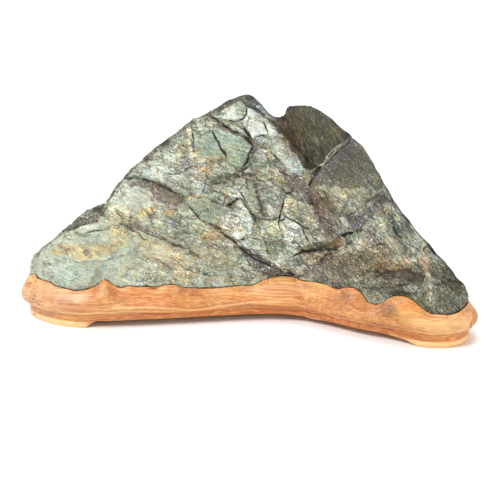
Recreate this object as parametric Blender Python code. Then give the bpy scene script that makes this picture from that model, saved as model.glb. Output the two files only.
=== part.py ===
"""A suiseki: a mountain-shaped green stone in its carved wooden stand, the daiza.

Lengths below are in millimetres and are turned into metres as each mesh is made.
+X runs along the stand, +Z is up and the front of the stone faces -Y.
"""

import math

import bmesh
import bpy
import numpy as np
from mathutils import Vector, noise

MM = 0.001

# Driving dimensions of the stand
SEAT_Z = 15.0  # floor of the carved seat
RIM_Z = 31.5  # usual height of the rim
BELLY_Z = 16.0  # the rim's rise and fall, and its swellings, fade out down to this height
RIM_WIDTH = 7.5  # from the stone's foot out to the widest line of the stand
FIT = 0.5  # how far the seat is carved larger than the stone
STATIONS = 124  # sections round the stand
FRONT_SHARE = 1.7  # sections stand this much closer along the front than along the back

# Driving dimensions of the stone
CELL = 2.0  # grain of the solid before it is thinned
STONE_TRIANGLES = 4800
SLAB_THICKNESS = 22.0
SLAB_NARROWING = 0.72
FOOT_TOP_Z = 30.0  # the front rises straight from its foot to here, and leans back above
ROUGHNESS = 1.1  # how far the weathered surface wanders
BEDDED_Z = 34.0  # below this the stone is smooth, more so further down
BEDDED_FADE = 6.0

# The stone's foot seen from above, from the left end: first along the front, then back round
FRONT_FOOT = [
    (-178, -15), (-169, -29), (-150, -39.5), (-131, -43), (-110, -41), (-75, -33), (-37, -23),
    (-11, -16), (14, -11), (42, -11.5), (63, -20), (87, -32), (110, -40), (127, -46),
    (141, -48.5), (154, -46.5), (164, -39.5), (169.5, -28), (170.5, -12),
]
BACK_FOOT = [(164, 4), (148, 19), (118, 33), (80, 44), (40, 52), (0, 54), (-40, 51), (-80, 44),
             (-115, 33), (-148, 18), (-170, 2)]
# How far the front leans back for each millimetre of height: (x, lean)
LEAN = [(-180, 0.50), (-130, 0.50), (-60, 0.38), (0, 0.28), (40, 0.28), (80, 0.36), (120, 0.45),
        (180, 0.50)]

# Cleaved faces of the front: how far each stands out at its foot and at its head, and its
# corners (x, z) as seen from the front. A negative number is set back.
FRONT_FACES = {
    "left_toe": (1.0, 0.5, [(-179, 22), (-180, 34), (-178, 46), (-161, 61), (-146, 69), (-117, 80),
                            (-106, 82), (-100, 64), (-106, 22), (-122, 22), (-143, 22), (-164, 22)]),
    "toe_swelling": (2.0, 2.5, [(-166, 48), (-150, 62), (-124, 64), (-112, 50), (-122, 32), (-148, 30)]),
    "lower_apron": (1.5, 1.5, [(-108, 22), (-108, 57), (-97, 78), (-76, 65), (-56, 58), (-37, 50),
                               (-17, 42), (-8, 22), (-36, 22), (-66, 22), (-96, 22)]),
    "apron_swelling": (2.5, 4.0, [(-97, 34), (-94, 64), (-70, 60), (-44, 48), (-50, 30), (-74, 28)]),
    "left_shoulder": (1.0, 0.5, [(-115, 90), (-108, 104), (-101, 113), (-86, 106), (-66, 100),
                                 (-50, 95), (-55, 68), (-76, 66), (-94, 71), (-110, 75)]),
    "left_plate": (2.5, 2.5, [(-104, 90), (-77, 93), (-55, 86), (-38, 72), (-34, 63), (-53, 65),
                              (-70, 72), (-90, 77)]),
    "centre_left_plate": (-0.5, -1.0, [(-49, 93), (-23, 75), (-10, 63), (-3, 55), (-26, 61),
                                       (-45, 61), (-65, 66), (-60, 84)]),
    "lower_plate": (2.0, 2.5, [(-21, 72), (-10, 64), (5, 51), (26, 42), (11, 37), (-6, 44),
                               (-26, 54), (-37, 59)]),
    "upper_left_block": (3.5, 2.0, [(-101, 113), (-87, 124), (-68, 141), (-57, 148), (-48, 133),
                                    (-45, 115), (-54, 102), (-70, 108), (-86, 111)]),
    "upper_middle_block": (4.5, 2.0, [(-58, 148), (-45, 157), (-37, 159), (-30, 143), (-25, 136),
                                      (-20, 126), (-22, 114), (-32, 107), (-44, 114), (-48, 133)]),
    "green_block": (5.0, 2.0, [(-37, 159), (-21, 151), (0, 134), (-4, 130), (-5, 120), (-14, 116),
                               (-20, 111), (-21, 127), (-30, 143)]),
    "summit_wedge": (1.0, 2.0, [(-38, 159), (-25, 167), (-11, 174), (-5, 176), (-5, 159), (-12, 155),
                                (-6, 147), (3, 140), (-10, 143), (-23, 151)]),
    "summit_slab": (6.0, 2.0, [(-5, 173), (-3, 177), (3, 170), (13, 158), (30, 139), (43, 127),
                               (46, 121), (38, 114), (29, 118), (20, 125), (11, 134), (3, 141),
                               (-7, 152), (-5, 162)]),
    "keystone": (6.5, 5.0, [(3, 144), (12, 145), (20, 126), (11, 134), (8, 137)]),
    "upper_scree": (2.0, 0.5, [(-6, 120), (8, 132), (20, 122), (32, 113), (26, 106), (16, 110),
                               (3, 108), (-8, 111)]),
    "notch_foot": (1.5, 0.5, [(30, 113), (40, 118), (48, 114), (44, 106), (32, 104)]),
    "corner_block": (3.0, 1.0, [(-37, 106), (-18, 107), (-18, 93), (-29, 95), (-42, 96)]),
    "middle_wedge": (4.5, 3.0, [(-18, 105), (-11, 112), (-4, 111), (-6, 107), (-11, 96), (-18, 96)]),
    "wedge_column": (3.0, 2.0, [(-6, 106), (3, 108), (10, 88), (13, 83), (5, 79), (-8, 96)]),
    "square_block": (5.5, 4.0, [(-20, 87), (-8, 96), (2, 82), (6, 72), (1, 68), (-10, 66), (-21, 73)]),
    "lower_centre": (4.5, 3.5, [(5, 79), (13, 83), (22, 81), (40, 78), (45, 67), (40, 61), (35, 43),
                                (21, 49), (11, 49), (-3, 59), (-10, 64), (1, 68)]),
    "right_column": (4.0, 2.5, [(9, 106), (16, 108), (25, 100), (22, 92), (22, 81), (13, 83), (6, 96)]),
    "brown_face": (5.5, 2.0, [(25, 100), (38, 110), (48, 109), (63, 87), (66, 70), (44, 65), (40, 78),
                              (27, 83)]),
    "purple_wedge": (2.5, 2.0, [(60, 92), (72, 92), (78, 76), (74, 64), (64, 64), (62, 80)]),
    "moss_ledge": (8.0, 7.0, [(44, 68), (65, 70), (67, 64), (44, 60), (40, 63)]),
    "right_slab": (5.0, 4.0, [(45, 110), (49, 117), (55, 123), (64, 134), (74, 142), (77, 146),
                              (87, 141), (95, 128), (102, 113), (94, 104), (84, 95), (74, 91),
                              (62, 95)]),
    "right_flank": (3.5, 2.0, [(74, 89), (94, 102), (102, 110), (108, 103), (120, 85), (138, 65),
                               (133, 58), (116, 56), (94, 58), (73, 62)]),
    "right_apron": (1.0, 4.5, [(40, 58), (65, 62), (94, 66), (122, 62), (132, 44), (128, 22),
                               (110, 22), (87, 22), (64, 22), (44, 26), (35, 42)]),
    "right_toe": (1.0, 2.0, [(126, 61), (141, 67), (152, 56), (162, 47), (168, 33), (168, 20),
                             (159, 18), (145, 18), (130, 18), (123, 35), (120, 48)]),
}

# The peak behind the notch, which stands well back, and the notch between it and the summit
BACK_FACES = {
    "second_peak": [(22, 32, 158), (25, 33, 164), (29, 34, 166), (44, 34, 166), (53, 32, 163),
                    (64, 27, 155), (76, 21, 145), (65, 22, 133), (57, 20, 125), (45, 20, 117),
                    (35, 24, 131), (27, 43, 158), (46, 44, 160), (66, 38, 146), (86, 28, 122),
                    (66, 46, 22), (18, 52, 22)],
    "notch_wall": [(8, 38, 157), (27, 38, 157), (46, 26, 118), (20, 28, 120), (6, 45, 150),
                   (28, 47, 150), (44, 48, 90), (0, 49, 90)],
    "left_back_slab": [(-159, -12, 64), (-150, -10, 71), (-140, -6, 79), (-128, -3, 87),
                       (-117, -1, 90), (-106, 2, 96), (-100, -4, 76), (-146, -8, 54),
                       (-136, 18, 52), (-100, 26, 64), (-104, 18, 84)],
    "back_buttress": [(-30, 40, 122), (-4, 45, 114), (18, 51, 70), (-44, 51, 62), (-60, 47, 24),
                      (-10, 54, 24), (26, 53, 24), (-20, 24, 112), (-10, 20, 40)],
    "back_right_buttress": [(60, 43, 96), (92, 33, 84), (112, 31, 30), (56, 49, 30), (74, 20, 80),
                            (80, 10, 40)],
    "back_left_buttress": [(-98, 33, 72), (-70, 41, 82), (-64, 47, 28), (-112, 32, 28),
                           (-84, 16, 60), (-90, 10, 40)],
    "back_left_shelf": [(-150, 14, 46), (-118, 28, 52), (-112, 32, 26), (-146, 18, 26),
                        (-150, 0, 40), (-116, 4, 50)],
    "back_right_shelf": [(112, 26, 66), (140, 12, 54), (148, 18, 26), (112, 32, 26), (112, 4, 60),
                         (140, -6, 48)],
}

# The two masses that the faces stand on: the hulls of their corners
MASSES = {
    "west_mass": [(-174, -12, 18), (-150, -33, 18), (-120, -37, 18), (-60, -25, 18), (-10, -12, 18),
                  (24, -7, 18), (-175, -2, 36), (-140, -13, 66), (-108, -8, 88), (-98, 3, 108),
                  (-56, 18, 146), (-24, 26, 167), (-7, 28, 176), (4, 27, 170), (14, 25, 155),
                  (42, 16, 118), (-165, 3, 18), (-130, 24, 18), (-80, 41, 18), (-20, 51, 18),
                  (30, 51, 18), (24, 45, 110), (-14, 36, 169), (-70, 34, 118), (-112, 16, 74),
                  (-150, 6, 44)],
    "east_mass": [(20, -7, 18), (64, -16, 18), (100, -33, 18), (128, -42, 18), (158, -36, 18),
                  (169, -16, 18), (66, 22, 118), (84, 14, 128), (92, 8, 124), (106, 0, 101),
                  (138, -20, 65), (164, -21, 40), (40, 16, 100), (168, 0, 18), (146, 18, 18),
                  (80, 42, 18), (30, 51, 18), (84, 26, 122), (110, 16, 88), (144, 2, 50),
                  (50, 44, 90)],
}

# Open joints of the front and the back, as lines (x, z) with a width and a depth
FRONT_JOINTS = {
    "under_upper_left_block": (5.0, 3.0, [(-96, 110), (-76, 107), (-58, 101), (-50, 95)]),
    "long_diagonal": (3.5, 2.2, [(-48, 93), (-22, 75), (-9, 63), (6, 54), (24, 47)]),
    "under_green_block": (5.0, 3.0, [(-34, 105), (-20, 110), (-6, 118), (-3, 134)]),
    "summit_joint": (4.0, 2.2, [(-38, 158), (-24, 150), (-9, 142), (9, 133), (24, 119), (36, 112)]),
    "dark_cavity": (7.0, 4.5, [(72, 71), (80, 73), (89, 78)]),
    "under_moss_ledge": (4.0, 3.5, [(40, 59), (52, 60), (66, 61)]),
    "right_slab_joint": (3.5, 2.6, [(47, 108), (52, 114), (60, 127), (70, 136), (75, 142)]),
    "centre_joint": (4.0, 2.8, [(26, 100), (21, 92), (23, 82), (13, 84)]),
    "long_left_joint": (4.0, 2.2, [(-106, 79), (-92, 77), (-78, 66), (-58, 60), (-42, 58)]),
    "green_block_joint": (3.0, 2.0, [(-30, 143), (-25, 136), (-20, 126)]),
    "slate_hollow": (8.0, 3.0, [(4, 42), (20, 40), (34, 37)]),
}
BACK_JOINTS = {
    "back_steep_joint": (4.0, 2.8, [(-52, 132), (-40, 96), (-46, 60), (-36, 30)]),
    "back_level_joint": (4.0, 2.4, [(-118, 66), (-84, 72), (-44, 66), (10, 74), (46, 68)]),
    "back_right_joint": (4.0, 2.6, [(58, 140), (50, 104), (62, 70), (54, 34)]),
    "back_slope_joint": (3.5, 2.2, [(64, 92), (96, 66), (132, 48)]),
}

# Height of the rim above or below its usual height: (x, rise)
FRONT_RIM = [
    (-180, 1.0), (-166, 1.0), (-149, 1.2), (-134, -0.4), (-121, 1.0), (-116, 3.0), (-111, 7.2),
    (-104, 4.2), (-96, 1.6), (-78, 1.8), (-59, 3.2), (-50, 0.2), (-36, -1.4), (-10, -0.4), (8, 2.4),
    (17, 5.4), (27, 6.6), (45, 5.4), (61, 3.8), (71, 2.0), (76, 4.8), (85, 4.4), (92, 0.0),
    (99, -2.8), (108, 1.4), (112, 4.0), (120, 5.0), (125, 3.4), (132, -1.2), (140, -5.4),
    (149, -6.4), (159, -6.4), (165, -4.6), (172, -0.5), (180, 0.0),
]
BACK_RIM = [(-180, 1.0), (-130, 3.0), (-95, 0.0), (-60, 3.5), (-20, 0.5), (20, 3.0), (60, -0.5),
            (100, 2.5), (140, 0.0), (180, 0.0)]
# Ribs of the wood under the rim's high points: (x, half width, how far they stand out)
RIBS = [(-110, 6.5, 2.2), (-59, 6.5, 1.6), (-150, 12.0, 0.8), (24, 22.0, 1.2), (80, 8.0, 1.4),
        (117, 9.0, 1.6)]

# The stand's section from its underside up: (in from the widest line, height)
STAND_SECTION = [
    (5.0, 5.5), (4.4, 6.2), (4.4, 9.2), (5.2, 11.0), (3.8, 12.0), (1.7, 14.4), (0.3, 17.2),
    (0.0, 19.8), (1.3, 24.2), (3.7, 28.0), (5.9, 30.4), (8.0, 31.6), (11.0, 32.3),
]
# A foot's section: (in from the widest line, height), from its outer top edge down and in
FOOT_SECTION = [(5.8, 8.0), (5.6, 4.8), (4.6, 2.4), (5.4, 0.0), (18.0, 0.0), (16.5, 8.0)]
FOOT_BEVEL = 4.5  # how much shorter a foot is at the floor than at the stand, at each end
FOOT_STEP = 8.0  # between a foot's sections
# The stretches of the stand with feet, as plan directions in degrees from +X
FEET = {"right_foot": (-23.3, 9.0), "back_foot": (74.0, 110.0), "left_foot": (171.0, 202.8)}


def spline(points, count, front_share=1.0):
    """Points on the closed Catmull-Rom curve through the given ones, spaced along its length."""
    points = np.array(points, float)
    total = len(points)
    steps = np.arange(24)[:, None] / 24
    runs = []
    for i in range(total):
        a, b, c, d = (points[(i + k - 1) % total] for k in range(4))
        runs.append(0.5 * (2 * b + (c - a) * steps + (2 * a - 5 * b + 4 * c - d) * steps**2
                           + (3 * b - a - 3 * c + d) * steps**3))
    fine = np.concatenate(runs + [points[:1]])
    run = np.diff(fine, axis=0)
    weight = np.linalg.norm(run, axis=1) * np.where(run[:, 0] > 0, front_share, 1.0)
    along = np.concatenate([[0], np.cumsum(weight)])
    wanted = np.linspace(0, along[-1], count, endpoint=False)
    return np.column_stack([np.interp(wanted, along, fine[:, k]) for k in range(2)])


def outward(line):
    """Unit normals of a closed counter-clockwise line, pointing out."""
    run = np.roll(line, -1, axis=0) - np.roll(line, 1, axis=0)
    normal = np.column_stack([run[:, 1], -run[:, 0]])
    return normal / np.linalg.norm(normal, axis=1)[:, None]


def front_y(x, z):
    """The general slope of the stone's front, which its faces stand out from."""
    return np.interp(x, *zip(*FRONT_FOOT)) + np.interp(x, *zip(*LEAN)) * max(z - FOOT_TOP_Z, 0)


def widest_line(count):
    """The stand's widest line: the stone's foot grown by the width of the rim."""
    foot = spline(FRONT_FOOT + BACK_FOOT, count, FRONT_SHARE)
    normal = outward(foot)
    return foot + normal * RIM_WIDTH, normal


def new_object(name, mesh):
    obj = bpy.data.objects.new(name, mesh)
    bpy.context.scene.collection.objects.link(obj)
    return obj


def helper(obj):
    """Marks an object as a tool of the construction and not a part."""
    obj.hide_render = True
    obj.display_type = "WIRE"
    return obj


def material(name, colour, roughness):
    made = bpy.data.materials.new(name)
    made.use_nodes = True
    shader = made.node_tree.nodes["Principled BSDF"]
    shader.inputs["Base Color"].default_value = (*colour, 1.0)
    shader.inputs["Roughness"].default_value = roughness
    shader.inputs["Metallic"].default_value = 0.0
    made.diffuse_color = (*colour, 1.0)
    return made


def evaluated(obj, name):
    """A new object that holds what obj's modifiers make of it."""
    graph = bpy.context.evaluated_depsgraph_get()
    mesh = bpy.data.meshes.new_from_object(obj.evaluated_get(graph))
    mesh.name = name
    return new_object(name, mesh)


def add_hull(shape, corners):
    """Adds the convex hull of some corners to a bmesh."""
    verts = [shape.verts.new(Vector(c) * MM) for c in corners]
    result = bmesh.ops.convex_hull(shape, input=verts)
    inner = result["geom_interior"] + result["geom_unused"]
    spare = {v for v in inner if isinstance(v, bmesh.types.BMVert)}
    bmesh.ops.delete(shape, geom=list(spare), context="VERTS")


def slab_corners(foot_out, head_out, outline):
    """A front face's corners, and the same corners narrowed and set back into the stone."""
    heights = [z for x, z in outline]
    low, high = min(heights), max(heights)
    face = []
    for x, z in outline:
        out = foot_out + (head_out - foot_out) * (z - low) / (high - low)
        face.append((x, front_y(x, z) - out, z))
    face = np.array(face)
    middle = face.mean(axis=0)
    back = middle + (face - middle) * SLAB_NARROWING + (0, SLAB_THICKNESS, 0)
    back[:, 2] = np.maximum(back[:, 2], SEAT_Z + 1)
    return np.concatenate([face, back])


def add_foot_prism(shape):
    """The stone's foot, let into the wood, with a rounded lower edge."""
    line = spline(FRONT_FOOT + BACK_FOOT, 90)
    normal = outward(line)
    count = len(line)
    rings = []
    for z, inset in [(SEAT_Z, 2.5), (SEAT_Z + 4, 0.3), (25.0, 0.2), (29.0, 3.5)]:
        rings.append([shape.verts.new(Vector((*(p - n * inset), z)) * MM) for p, n in zip(line, normal)])
    for low, high in zip(rings, rings[1:]):
        for i in range(count):
            j = (i + 1) % count
            shape.faces.new((low[i], low[j], high[j], high[i]))
    shape.faces.new(reversed(rings[0]))
    shape.faces.new(rings[-1])


def line_distance(points, line):
    """Distance in the plane from each point to a line of straight runs."""
    nearest = np.full(len(points), np.inf)
    line = np.array(line, float)
    for a, b in zip(line, line[1:]):
        run = b - a
        share = np.clip((points - a) @ run / (run @ run), 0, 1)
        nearest = np.minimum(nearest, np.linalg.norm(points - a - share[:, None] * run, axis=1))
    return nearest


def read(vertices, field):
    values = np.empty(len(vertices) * 3)
    vertices.foreach_get(field, values)
    return values.reshape(-1, 3)


def weather(obj):
    """Opens the joints and roughens the whole stone a little above its foot."""
    mesh = obj.data
    normal = read(mesh.vertices, "normal")
    points = read(mesh.vertices, "co") / MM
    inward = np.zeros(len(points))
    for joints, facing in ((FRONT_JOINTS, -normal[:, 1]), (BACK_JOINTS, normal[:, 1])):
        for width, depth, line in joints.values():
            near = np.clip(1 - line_distance(points[:, [0, 2]], line) / (width / 2), 0, 1)
            inward = np.maximum(inward, near * depth * np.clip(facing * 2, 0, 1))
    above_foot = np.clip((points[:, 2] - SEAT_Z - 5) / 10, 0, 1)
    wander = [noise.noise(Vector(p) / 23) + 0.5 * noise.noise(Vector(p) / 9) for p in points]
    points += normal * (ROUGHNESS * np.array(wander) * above_foot - inward)[:, None]
    mesh.vertices.foreach_set("co", (points * MM).ravel())
    mesh.update()


def smooth_foot(obj):
    """Wears the part of the stone that stands in the seat smooth, so that it beds well."""
    heights = read(obj.data.vertices, "co")[:, 2] / MM
    seated = obj.vertex_groups.new(name="seated")
    for i in np.flatnonzero(heights < BEDDED_Z):
        seated.add([int(i)], min((BEDDED_Z - heights[i]) / BEDDED_FADE, 1.0), "REPLACE")
    worn = obj.modifiers.new("worn", "SMOOTH")
    worn.vertex_group = seated.name
    worn.iterations = 12


def fused(obj, name):
    """One closed skin round everything in obj, with no folds left in it."""
    helper(obj)
    skin = obj.modifiers.new("skin", "REMESH")
    skin.mode = "VOXEL"
    skin.voxel_size = CELL * MM
    return helper(evaluated(obj, name))


def build_stone():
    """The stone: its blocks joined in one solid, weathered, and thinned to flat triangles."""
    shape = bmesh.new()
    add_foot_prism(shape)
    for foot_out, head_out, outline in FRONT_FACES.values():
        add_hull(shape, slab_corners(foot_out, head_out, outline))
    for corners in (*BACK_FACES.values(), *MASSES.values()):
        add_hull(shape, corners)
    mesh = bpy.data.meshes.new("stone_blocks")
    shape.to_mesh(mesh)
    shape.free()
    rough = fused(new_object("stone_blocks", mesh), "stone_rough")
    weather(rough)
    whole = fused(rough, "stone_whole")
    smooth_foot(whole)
    thin = whole.modifiers.new("thin", "DECIMATE")
    thin.ratio = STONE_TRIANGLES / (2 * len(whole.data.polygons))
    stone = evaluated(whole, "stone")
    stone.data.materials.append(material("green_stone", (0.20, 0.23, 0.18), 0.5))
    return stone


def seat_cutter(stone):
    """The stone grown by the fit, which carves the seat."""
    mesh = stone.data.copy()
    grown = read(mesh.vertices, "co") + read(mesh.vertices, "normal") * FIT * MM
    mesh.vertices.foreach_set("co", grown.ravel())
    return helper(new_object("seat_cutter", mesh))


def stand_body():
    """The stand's block: its section carried round the widest line, with a flat underside."""
    line, normal = widest_line(STATIONS)
    back = np.clip(0.5 + normal[:, 1], 0, 1)
    front_rise = np.interp(line[:, 0], *zip(*FRONT_RIM))
    back_rise = np.interp(line[:, 0], *zip(*BACK_RIM))
    rise = front_rise * (1 - back) + back_rise * back
    rib = sum(out * np.exp(-(((line[:, 0] - x) / half) ** 2)) for x, half, out in RIBS)
    rib = rib * (normal[:, 1] < 0)
    points = []
    for inset, height in STAND_SECTION:
        share = np.clip((height - BELLY_Z) / (RIM_Z - BELLY_Z), 0, 1)
        ring = line - normal * (inset - rib * share * 1.5 * (1 - share / 3))[:, None]
        points += [(x * MM, y * MM, z * MM) for (x, y), z in zip(ring, height + share * rise)]
    top = (len(STAND_SECTION) - 1) * STATIONS
    faces = [tuple(reversed(range(STATIONS))), tuple(range(top, top + STATIONS))]
    for low in range(0, top, STATIONS):
        for i in range(STATIONS):
            j = (i + 1) % STATIONS
            faces.append((low + i, low + j, low + STATIONS + j, low + STATIONS + i))
    mesh = bpy.data.meshes.new("daiza")
    mesh.from_pydata(points, [], faces)
    return new_object("daiza", mesh)


def foot_stations(start, end):
    """Places along the widest line between two plan directions, with their normals."""
    line, normal = widest_line(900)
    turn = np.degrees(np.arctan2(line[:, 1], line[:, 0]))
    off = (turn - (start + end) / 2 + 180) % 360 - 180
    order = np.argsort(off)
    inside = order[np.abs(off[order]) <= (end - start) / 2]
    length = np.linalg.norm(np.diff(line[inside], axis=0), axis=1).sum()
    picked = inside[np.linspace(0, len(inside) - 1, int(length / FOOT_STEP) + 1).round().astype(int)]
    return line[picked], normal[picked]


def build_foot(name, start, end):
    """A foot: its section carried along the stand, cut slanting at both ends."""
    line, normal = foot_stations(start, end)
    shape = bmesh.new()
    rings = []
    for i, (place, out) in enumerate(zip(line, normal)):
        along = np.array([-out[1], out[0]])
        ends = {0: 1.0, len(line) - 1: -1.0}
        ring = []
        for inset, height in FOOT_SECTION:
            slant = ends.get(i, 0.0) * FOOT_BEVEL * (1 - height / FOOT_SECTION[0][1])
            ring.append(shape.verts.new(Vector((*(place - out * inset + along * slant), height)) * MM))
        rings.append(ring)
    for near, far in zip(rings, rings[1:]):
        for k in range(len(FOOT_SECTION)):
            m = k - 1
            shape.faces.new((near[m], near[k], far[k], far[m]))
    shape.faces.new(rings[0])
    shape.faces.new(rings[-1])
    bmesh.ops.recalc_face_normals(shape, faces=shape.faces)
    mesh = bpy.data.meshes.new(name)
    shape.to_mesh(mesh)
    shape.free()
    return helper(new_object(name, mesh))


def boolean(obj, other, operation):
    cut = obj.modifiers.new(other.name, "BOOLEAN")
    cut.operation = operation
    cut.object = other
    cut.solver = "EXACT"


def build_daiza(stone):
    """The carved stand: its block, its feet and the seat that fits the stone."""
    daiza = stand_body()
    for name, (start, end) in FEET.items():
        boolean(daiza, build_foot(name, start, end), "UNION")
    boolean(daiza, seat_cutter(stone), "DIFFERENCE")
    daiza.data.materials.append(material("stand_wood", (0.55, 0.24, 0.08), 0.4))
    daiza.data.shade_smooth()
    daiza.data.set_sharp_from_angle(angle=math.radians(35))
    return daiza


def centre(daiza):
    """Puts the origin under the middle of the stand's box, on the surface that it stands on."""
    points = read(daiza.data.vertices, "co")
    middle = (points.min(axis=0) + points.max(axis=0)) / 2
    suiseki = new_object("suiseki", None)
    for obj in list(bpy.data.objects):
        if obj != suiseki:
            obj.parent = suiseki
    suiseki.location = (-middle[0], -middle[1], 0.0)


for leftover in list(bpy.data.objects):
    bpy.data.objects.remove(leftover)
centre(build_daiza(build_stone()))
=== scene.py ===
import math
import random

import bmesh
import bpy
import numpy as np
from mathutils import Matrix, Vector, noise
from mathutils.bvhtree import BVHTree
from mathutils.kdtree import KDTree


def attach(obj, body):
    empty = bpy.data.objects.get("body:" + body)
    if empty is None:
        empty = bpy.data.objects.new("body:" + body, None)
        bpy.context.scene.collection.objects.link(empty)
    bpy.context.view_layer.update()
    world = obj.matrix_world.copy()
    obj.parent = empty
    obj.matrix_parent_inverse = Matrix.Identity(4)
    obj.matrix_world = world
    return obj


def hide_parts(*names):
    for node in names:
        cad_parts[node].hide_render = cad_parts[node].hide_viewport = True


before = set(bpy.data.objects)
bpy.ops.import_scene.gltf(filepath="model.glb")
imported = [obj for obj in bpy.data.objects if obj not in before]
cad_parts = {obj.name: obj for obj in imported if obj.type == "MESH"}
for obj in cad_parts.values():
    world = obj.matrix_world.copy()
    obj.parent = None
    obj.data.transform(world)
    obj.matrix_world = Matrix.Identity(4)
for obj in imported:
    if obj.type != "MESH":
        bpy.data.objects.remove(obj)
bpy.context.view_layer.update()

mm = 0.001
centring = np.array([3.593, -2.7658, 0.0])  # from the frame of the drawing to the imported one, in mm

# The photograph was taken a little from the right and from above. Places on the front of the stone
# and the stand are named by the photograph's pixels and carried onto them along this camera's rays.
photoCamera = {
    "target": (centring[0], centring[1], 55.0),  # mm
    "distance": 700.0,
    "azimuth": 7.0,
    "elevation": 18.0,
    "lens": 63.4,
    "sensor": 36.0,
    "imageSide": 500,
}


def cameraAxes():
    azimuth = math.radians(photoCamera["azimuth"])
    elevation = math.radians(photoCamera["elevation"])
    level = math.cos(elevation)
    right = np.array([math.cos(azimuth), math.sin(azimuth), 0.0])
    back = np.array([math.sin(azimuth) * level, -math.cos(azimuth) * level, math.sin(elevation)])
    return right, np.cross(back, right), back


def cameraPlace():
    return np.array(photoCamera["target"]) + cameraAxes()[2] * photoCamera["distance"]


def toPhoto(points):
    # pixel coordinates of points given in millimetres
    right, up, back = cameraAxes()
    rel = points - cameraPlace()
    scale = photoCamera["lens"] / photoCamera["sensor"] * photoCamera["imageSide"] / -(rel @ back)
    middle = photoCamera["imageSide"] / 2 - 0.5
    return np.column_stack([middle + rel @ right * scale, middle - rel @ up * scale])


def smoothStep(low, high, values):
    t = np.clip((values - low) / (high - low), 0, 1)
    return t * t * (3 - 2 * t)


def noiseField(points, size, seed, octaves):
    # fractal noise of about -1 to 1 whose largest lumps measure size, in the units of points
    shift = Vector((seed * 17.3, seed * 5.1, seed * 9.7))
    return np.array([noise.fractal(Vector(p) / size + shift, 0.9, 2.1, octaves) for p in points])


def linear(red, green, blue):
    # a colour as the eye sees it, 0 to 255, turned into Blender's linear one
    return tuple(((c / 255 + 0.055) / 1.055) ** 2.4 for c in (red, green, blue)) + (1.0,)


# Nodes


def wire(tree, kind, inputs=None, **choices):
    made = tree.nodes.new(kind)
    for name, choice in choices.items():
        setattr(made, name, choice)
    for key, value in (inputs or {}).items():
        if isinstance(value, bpy.types.NodeSocket):
            tree.links.new(value, made.inputs[key])
        else:
            made.inputs[key].default_value = value
    return made


def calc(tree, operation, *values):
    return wire(tree, "ShaderNodeMath", dict(enumerate(values)), operation=operation).outputs[0]


def plus(tree, first, second):
    return calc(tree, "ADD", first, second)


def minus(tree, first, second):
    return calc(tree, "SUBTRACT", first, second)


def times(tree, first, second):
    return calc(tree, "MULTIPLY", first, second)


def timesPlus(tree, first, second, added):
    return calc(tree, "MULTIPLY_ADD", first, second, added)


def blend(tree, share, first, second):
    return timesPlus(tree, share, minus(tree, second, first), first)


def remap(tree, value, low, high, newLow=0.0, newHigh=1.0, kind="LINEAR"):
    inputs = {"Value": value, 1: low, 2: high, 3: newLow, 4: newHigh}
    return wire(tree, "ShaderNodeMapRange", inputs, interpolation_type=kind).outputs[0]


def vectorCalc(tree, operation, *values):
    made = wire(tree, "ShaderNodeVectorMath", dict(enumerate(values)), operation=operation)
    return made.outputs["Value" if operation in ("DOT_PRODUCT", "LENGTH") else "Vector"]


def scaled(tree, vector, factor):
    return wire(tree, "ShaderNodeVectorMath", {0: vector, 3: factor}, operation="SCALE").outputs["Vector"]


def centred(tree, texture):
    # a texture's colour as a direction, from minus to plus a half on each axis
    return vectorCalc(tree, "SUBTRACT", texture, (0.5, 0.5, 0.5))


def stretched(tree, vector, turn, stretch):
    # a copy of the coordinates turned by degrees about X, Y, Z and then stretched
    inputs = {"Vector": vector, "Rotation": [math.radians(t) for t in turn]}
    turned = wire(tree, "ShaderNodeVectorRotate", inputs, rotation_type="EULER_XYZ").outputs[0]
    return vectorCalc(tree, "MULTIPLY", turned, stretch)


def noiseNode(tree, vector, scale, detail=3.0, roughness=0.55, distortion=0.0):
    inputs = {"Vector": vector, "Scale": scale, "Detail": detail, "Roughness": roughness,
              "Distortion": distortion}
    return wire(tree, "ShaderNodeTexNoise", inputs).outputs


def cellsNode(tree, vector, scale, feature="F1"):
    inputs = {"Vector": vector, "Scale": scale}
    return wire(tree, "ShaderNodeTexVoronoi", inputs, voronoi_dimensions="3D", feature=feature).outputs


def mixColour(tree, factor, first, second, mode="MIX"):
    inputs = {0: factor, 6: first, 7: second}
    return wire(tree, "ShaderNodeMix", inputs, data_type="RGBA", blend_type=mode).outputs[2]


def colourParts(tree, colour):
    return wire(tree, "ShaderNodeSeparateColor", {"Color": colour}).outputs


def tinted(tree, colour, red, green, blue):
    tint = wire(tree, "ShaderNodeCombineColor", {0: red, 1: green, 2: blue}).outputs[0]
    return mixColour(tree, 1.0, colour, tint, "MULTIPLY")


def newMaterial(name):
    made = bpy.data.materials.new(name)
    made.use_nodes = True
    return made, made.node_tree, made.node_tree.nodes["Principled BSDF"]


def connect(tree, shader, colour, roughness, height, bump):
    # bump gives the strength and the height of the finest relief
    strength, distance = bump
    inputs = {"Strength": strength, "Distance": distance, "Height": height}
    tree.links.new(colour, shader.inputs["Base Color"])
    tree.links.new(roughness, shader.inputs["Roughness"])
    tree.links.new(wire(tree, "ShaderNodeBump", inputs).outputs[0], shader.inputs["Normal"])


def shaderField(tree, name):
    # what the mesh's points carry under this name, as a material reads it
    return wire(tree, "ShaderNodeAttribute", attribute_name=name).outputs["Fac"]


def pointField(tree, name):
    # the same, as Geometry Nodes read it
    return wire(tree, "GeometryNodeInputNamedAttribute", {"Name": name}, data_type="FLOAT").outputs[0]


def storeFields(tree, geometry, fields):
    for name, value in fields.items():
        inputs = {"Geometry": geometry, "Name": name, "Value": value}
        geometry = wire(tree, "GeometryNodeStoreNamedAttribute", inputs,
                        data_type="FLOAT", domain="POINT").outputs[0]
    return geometry


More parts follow.
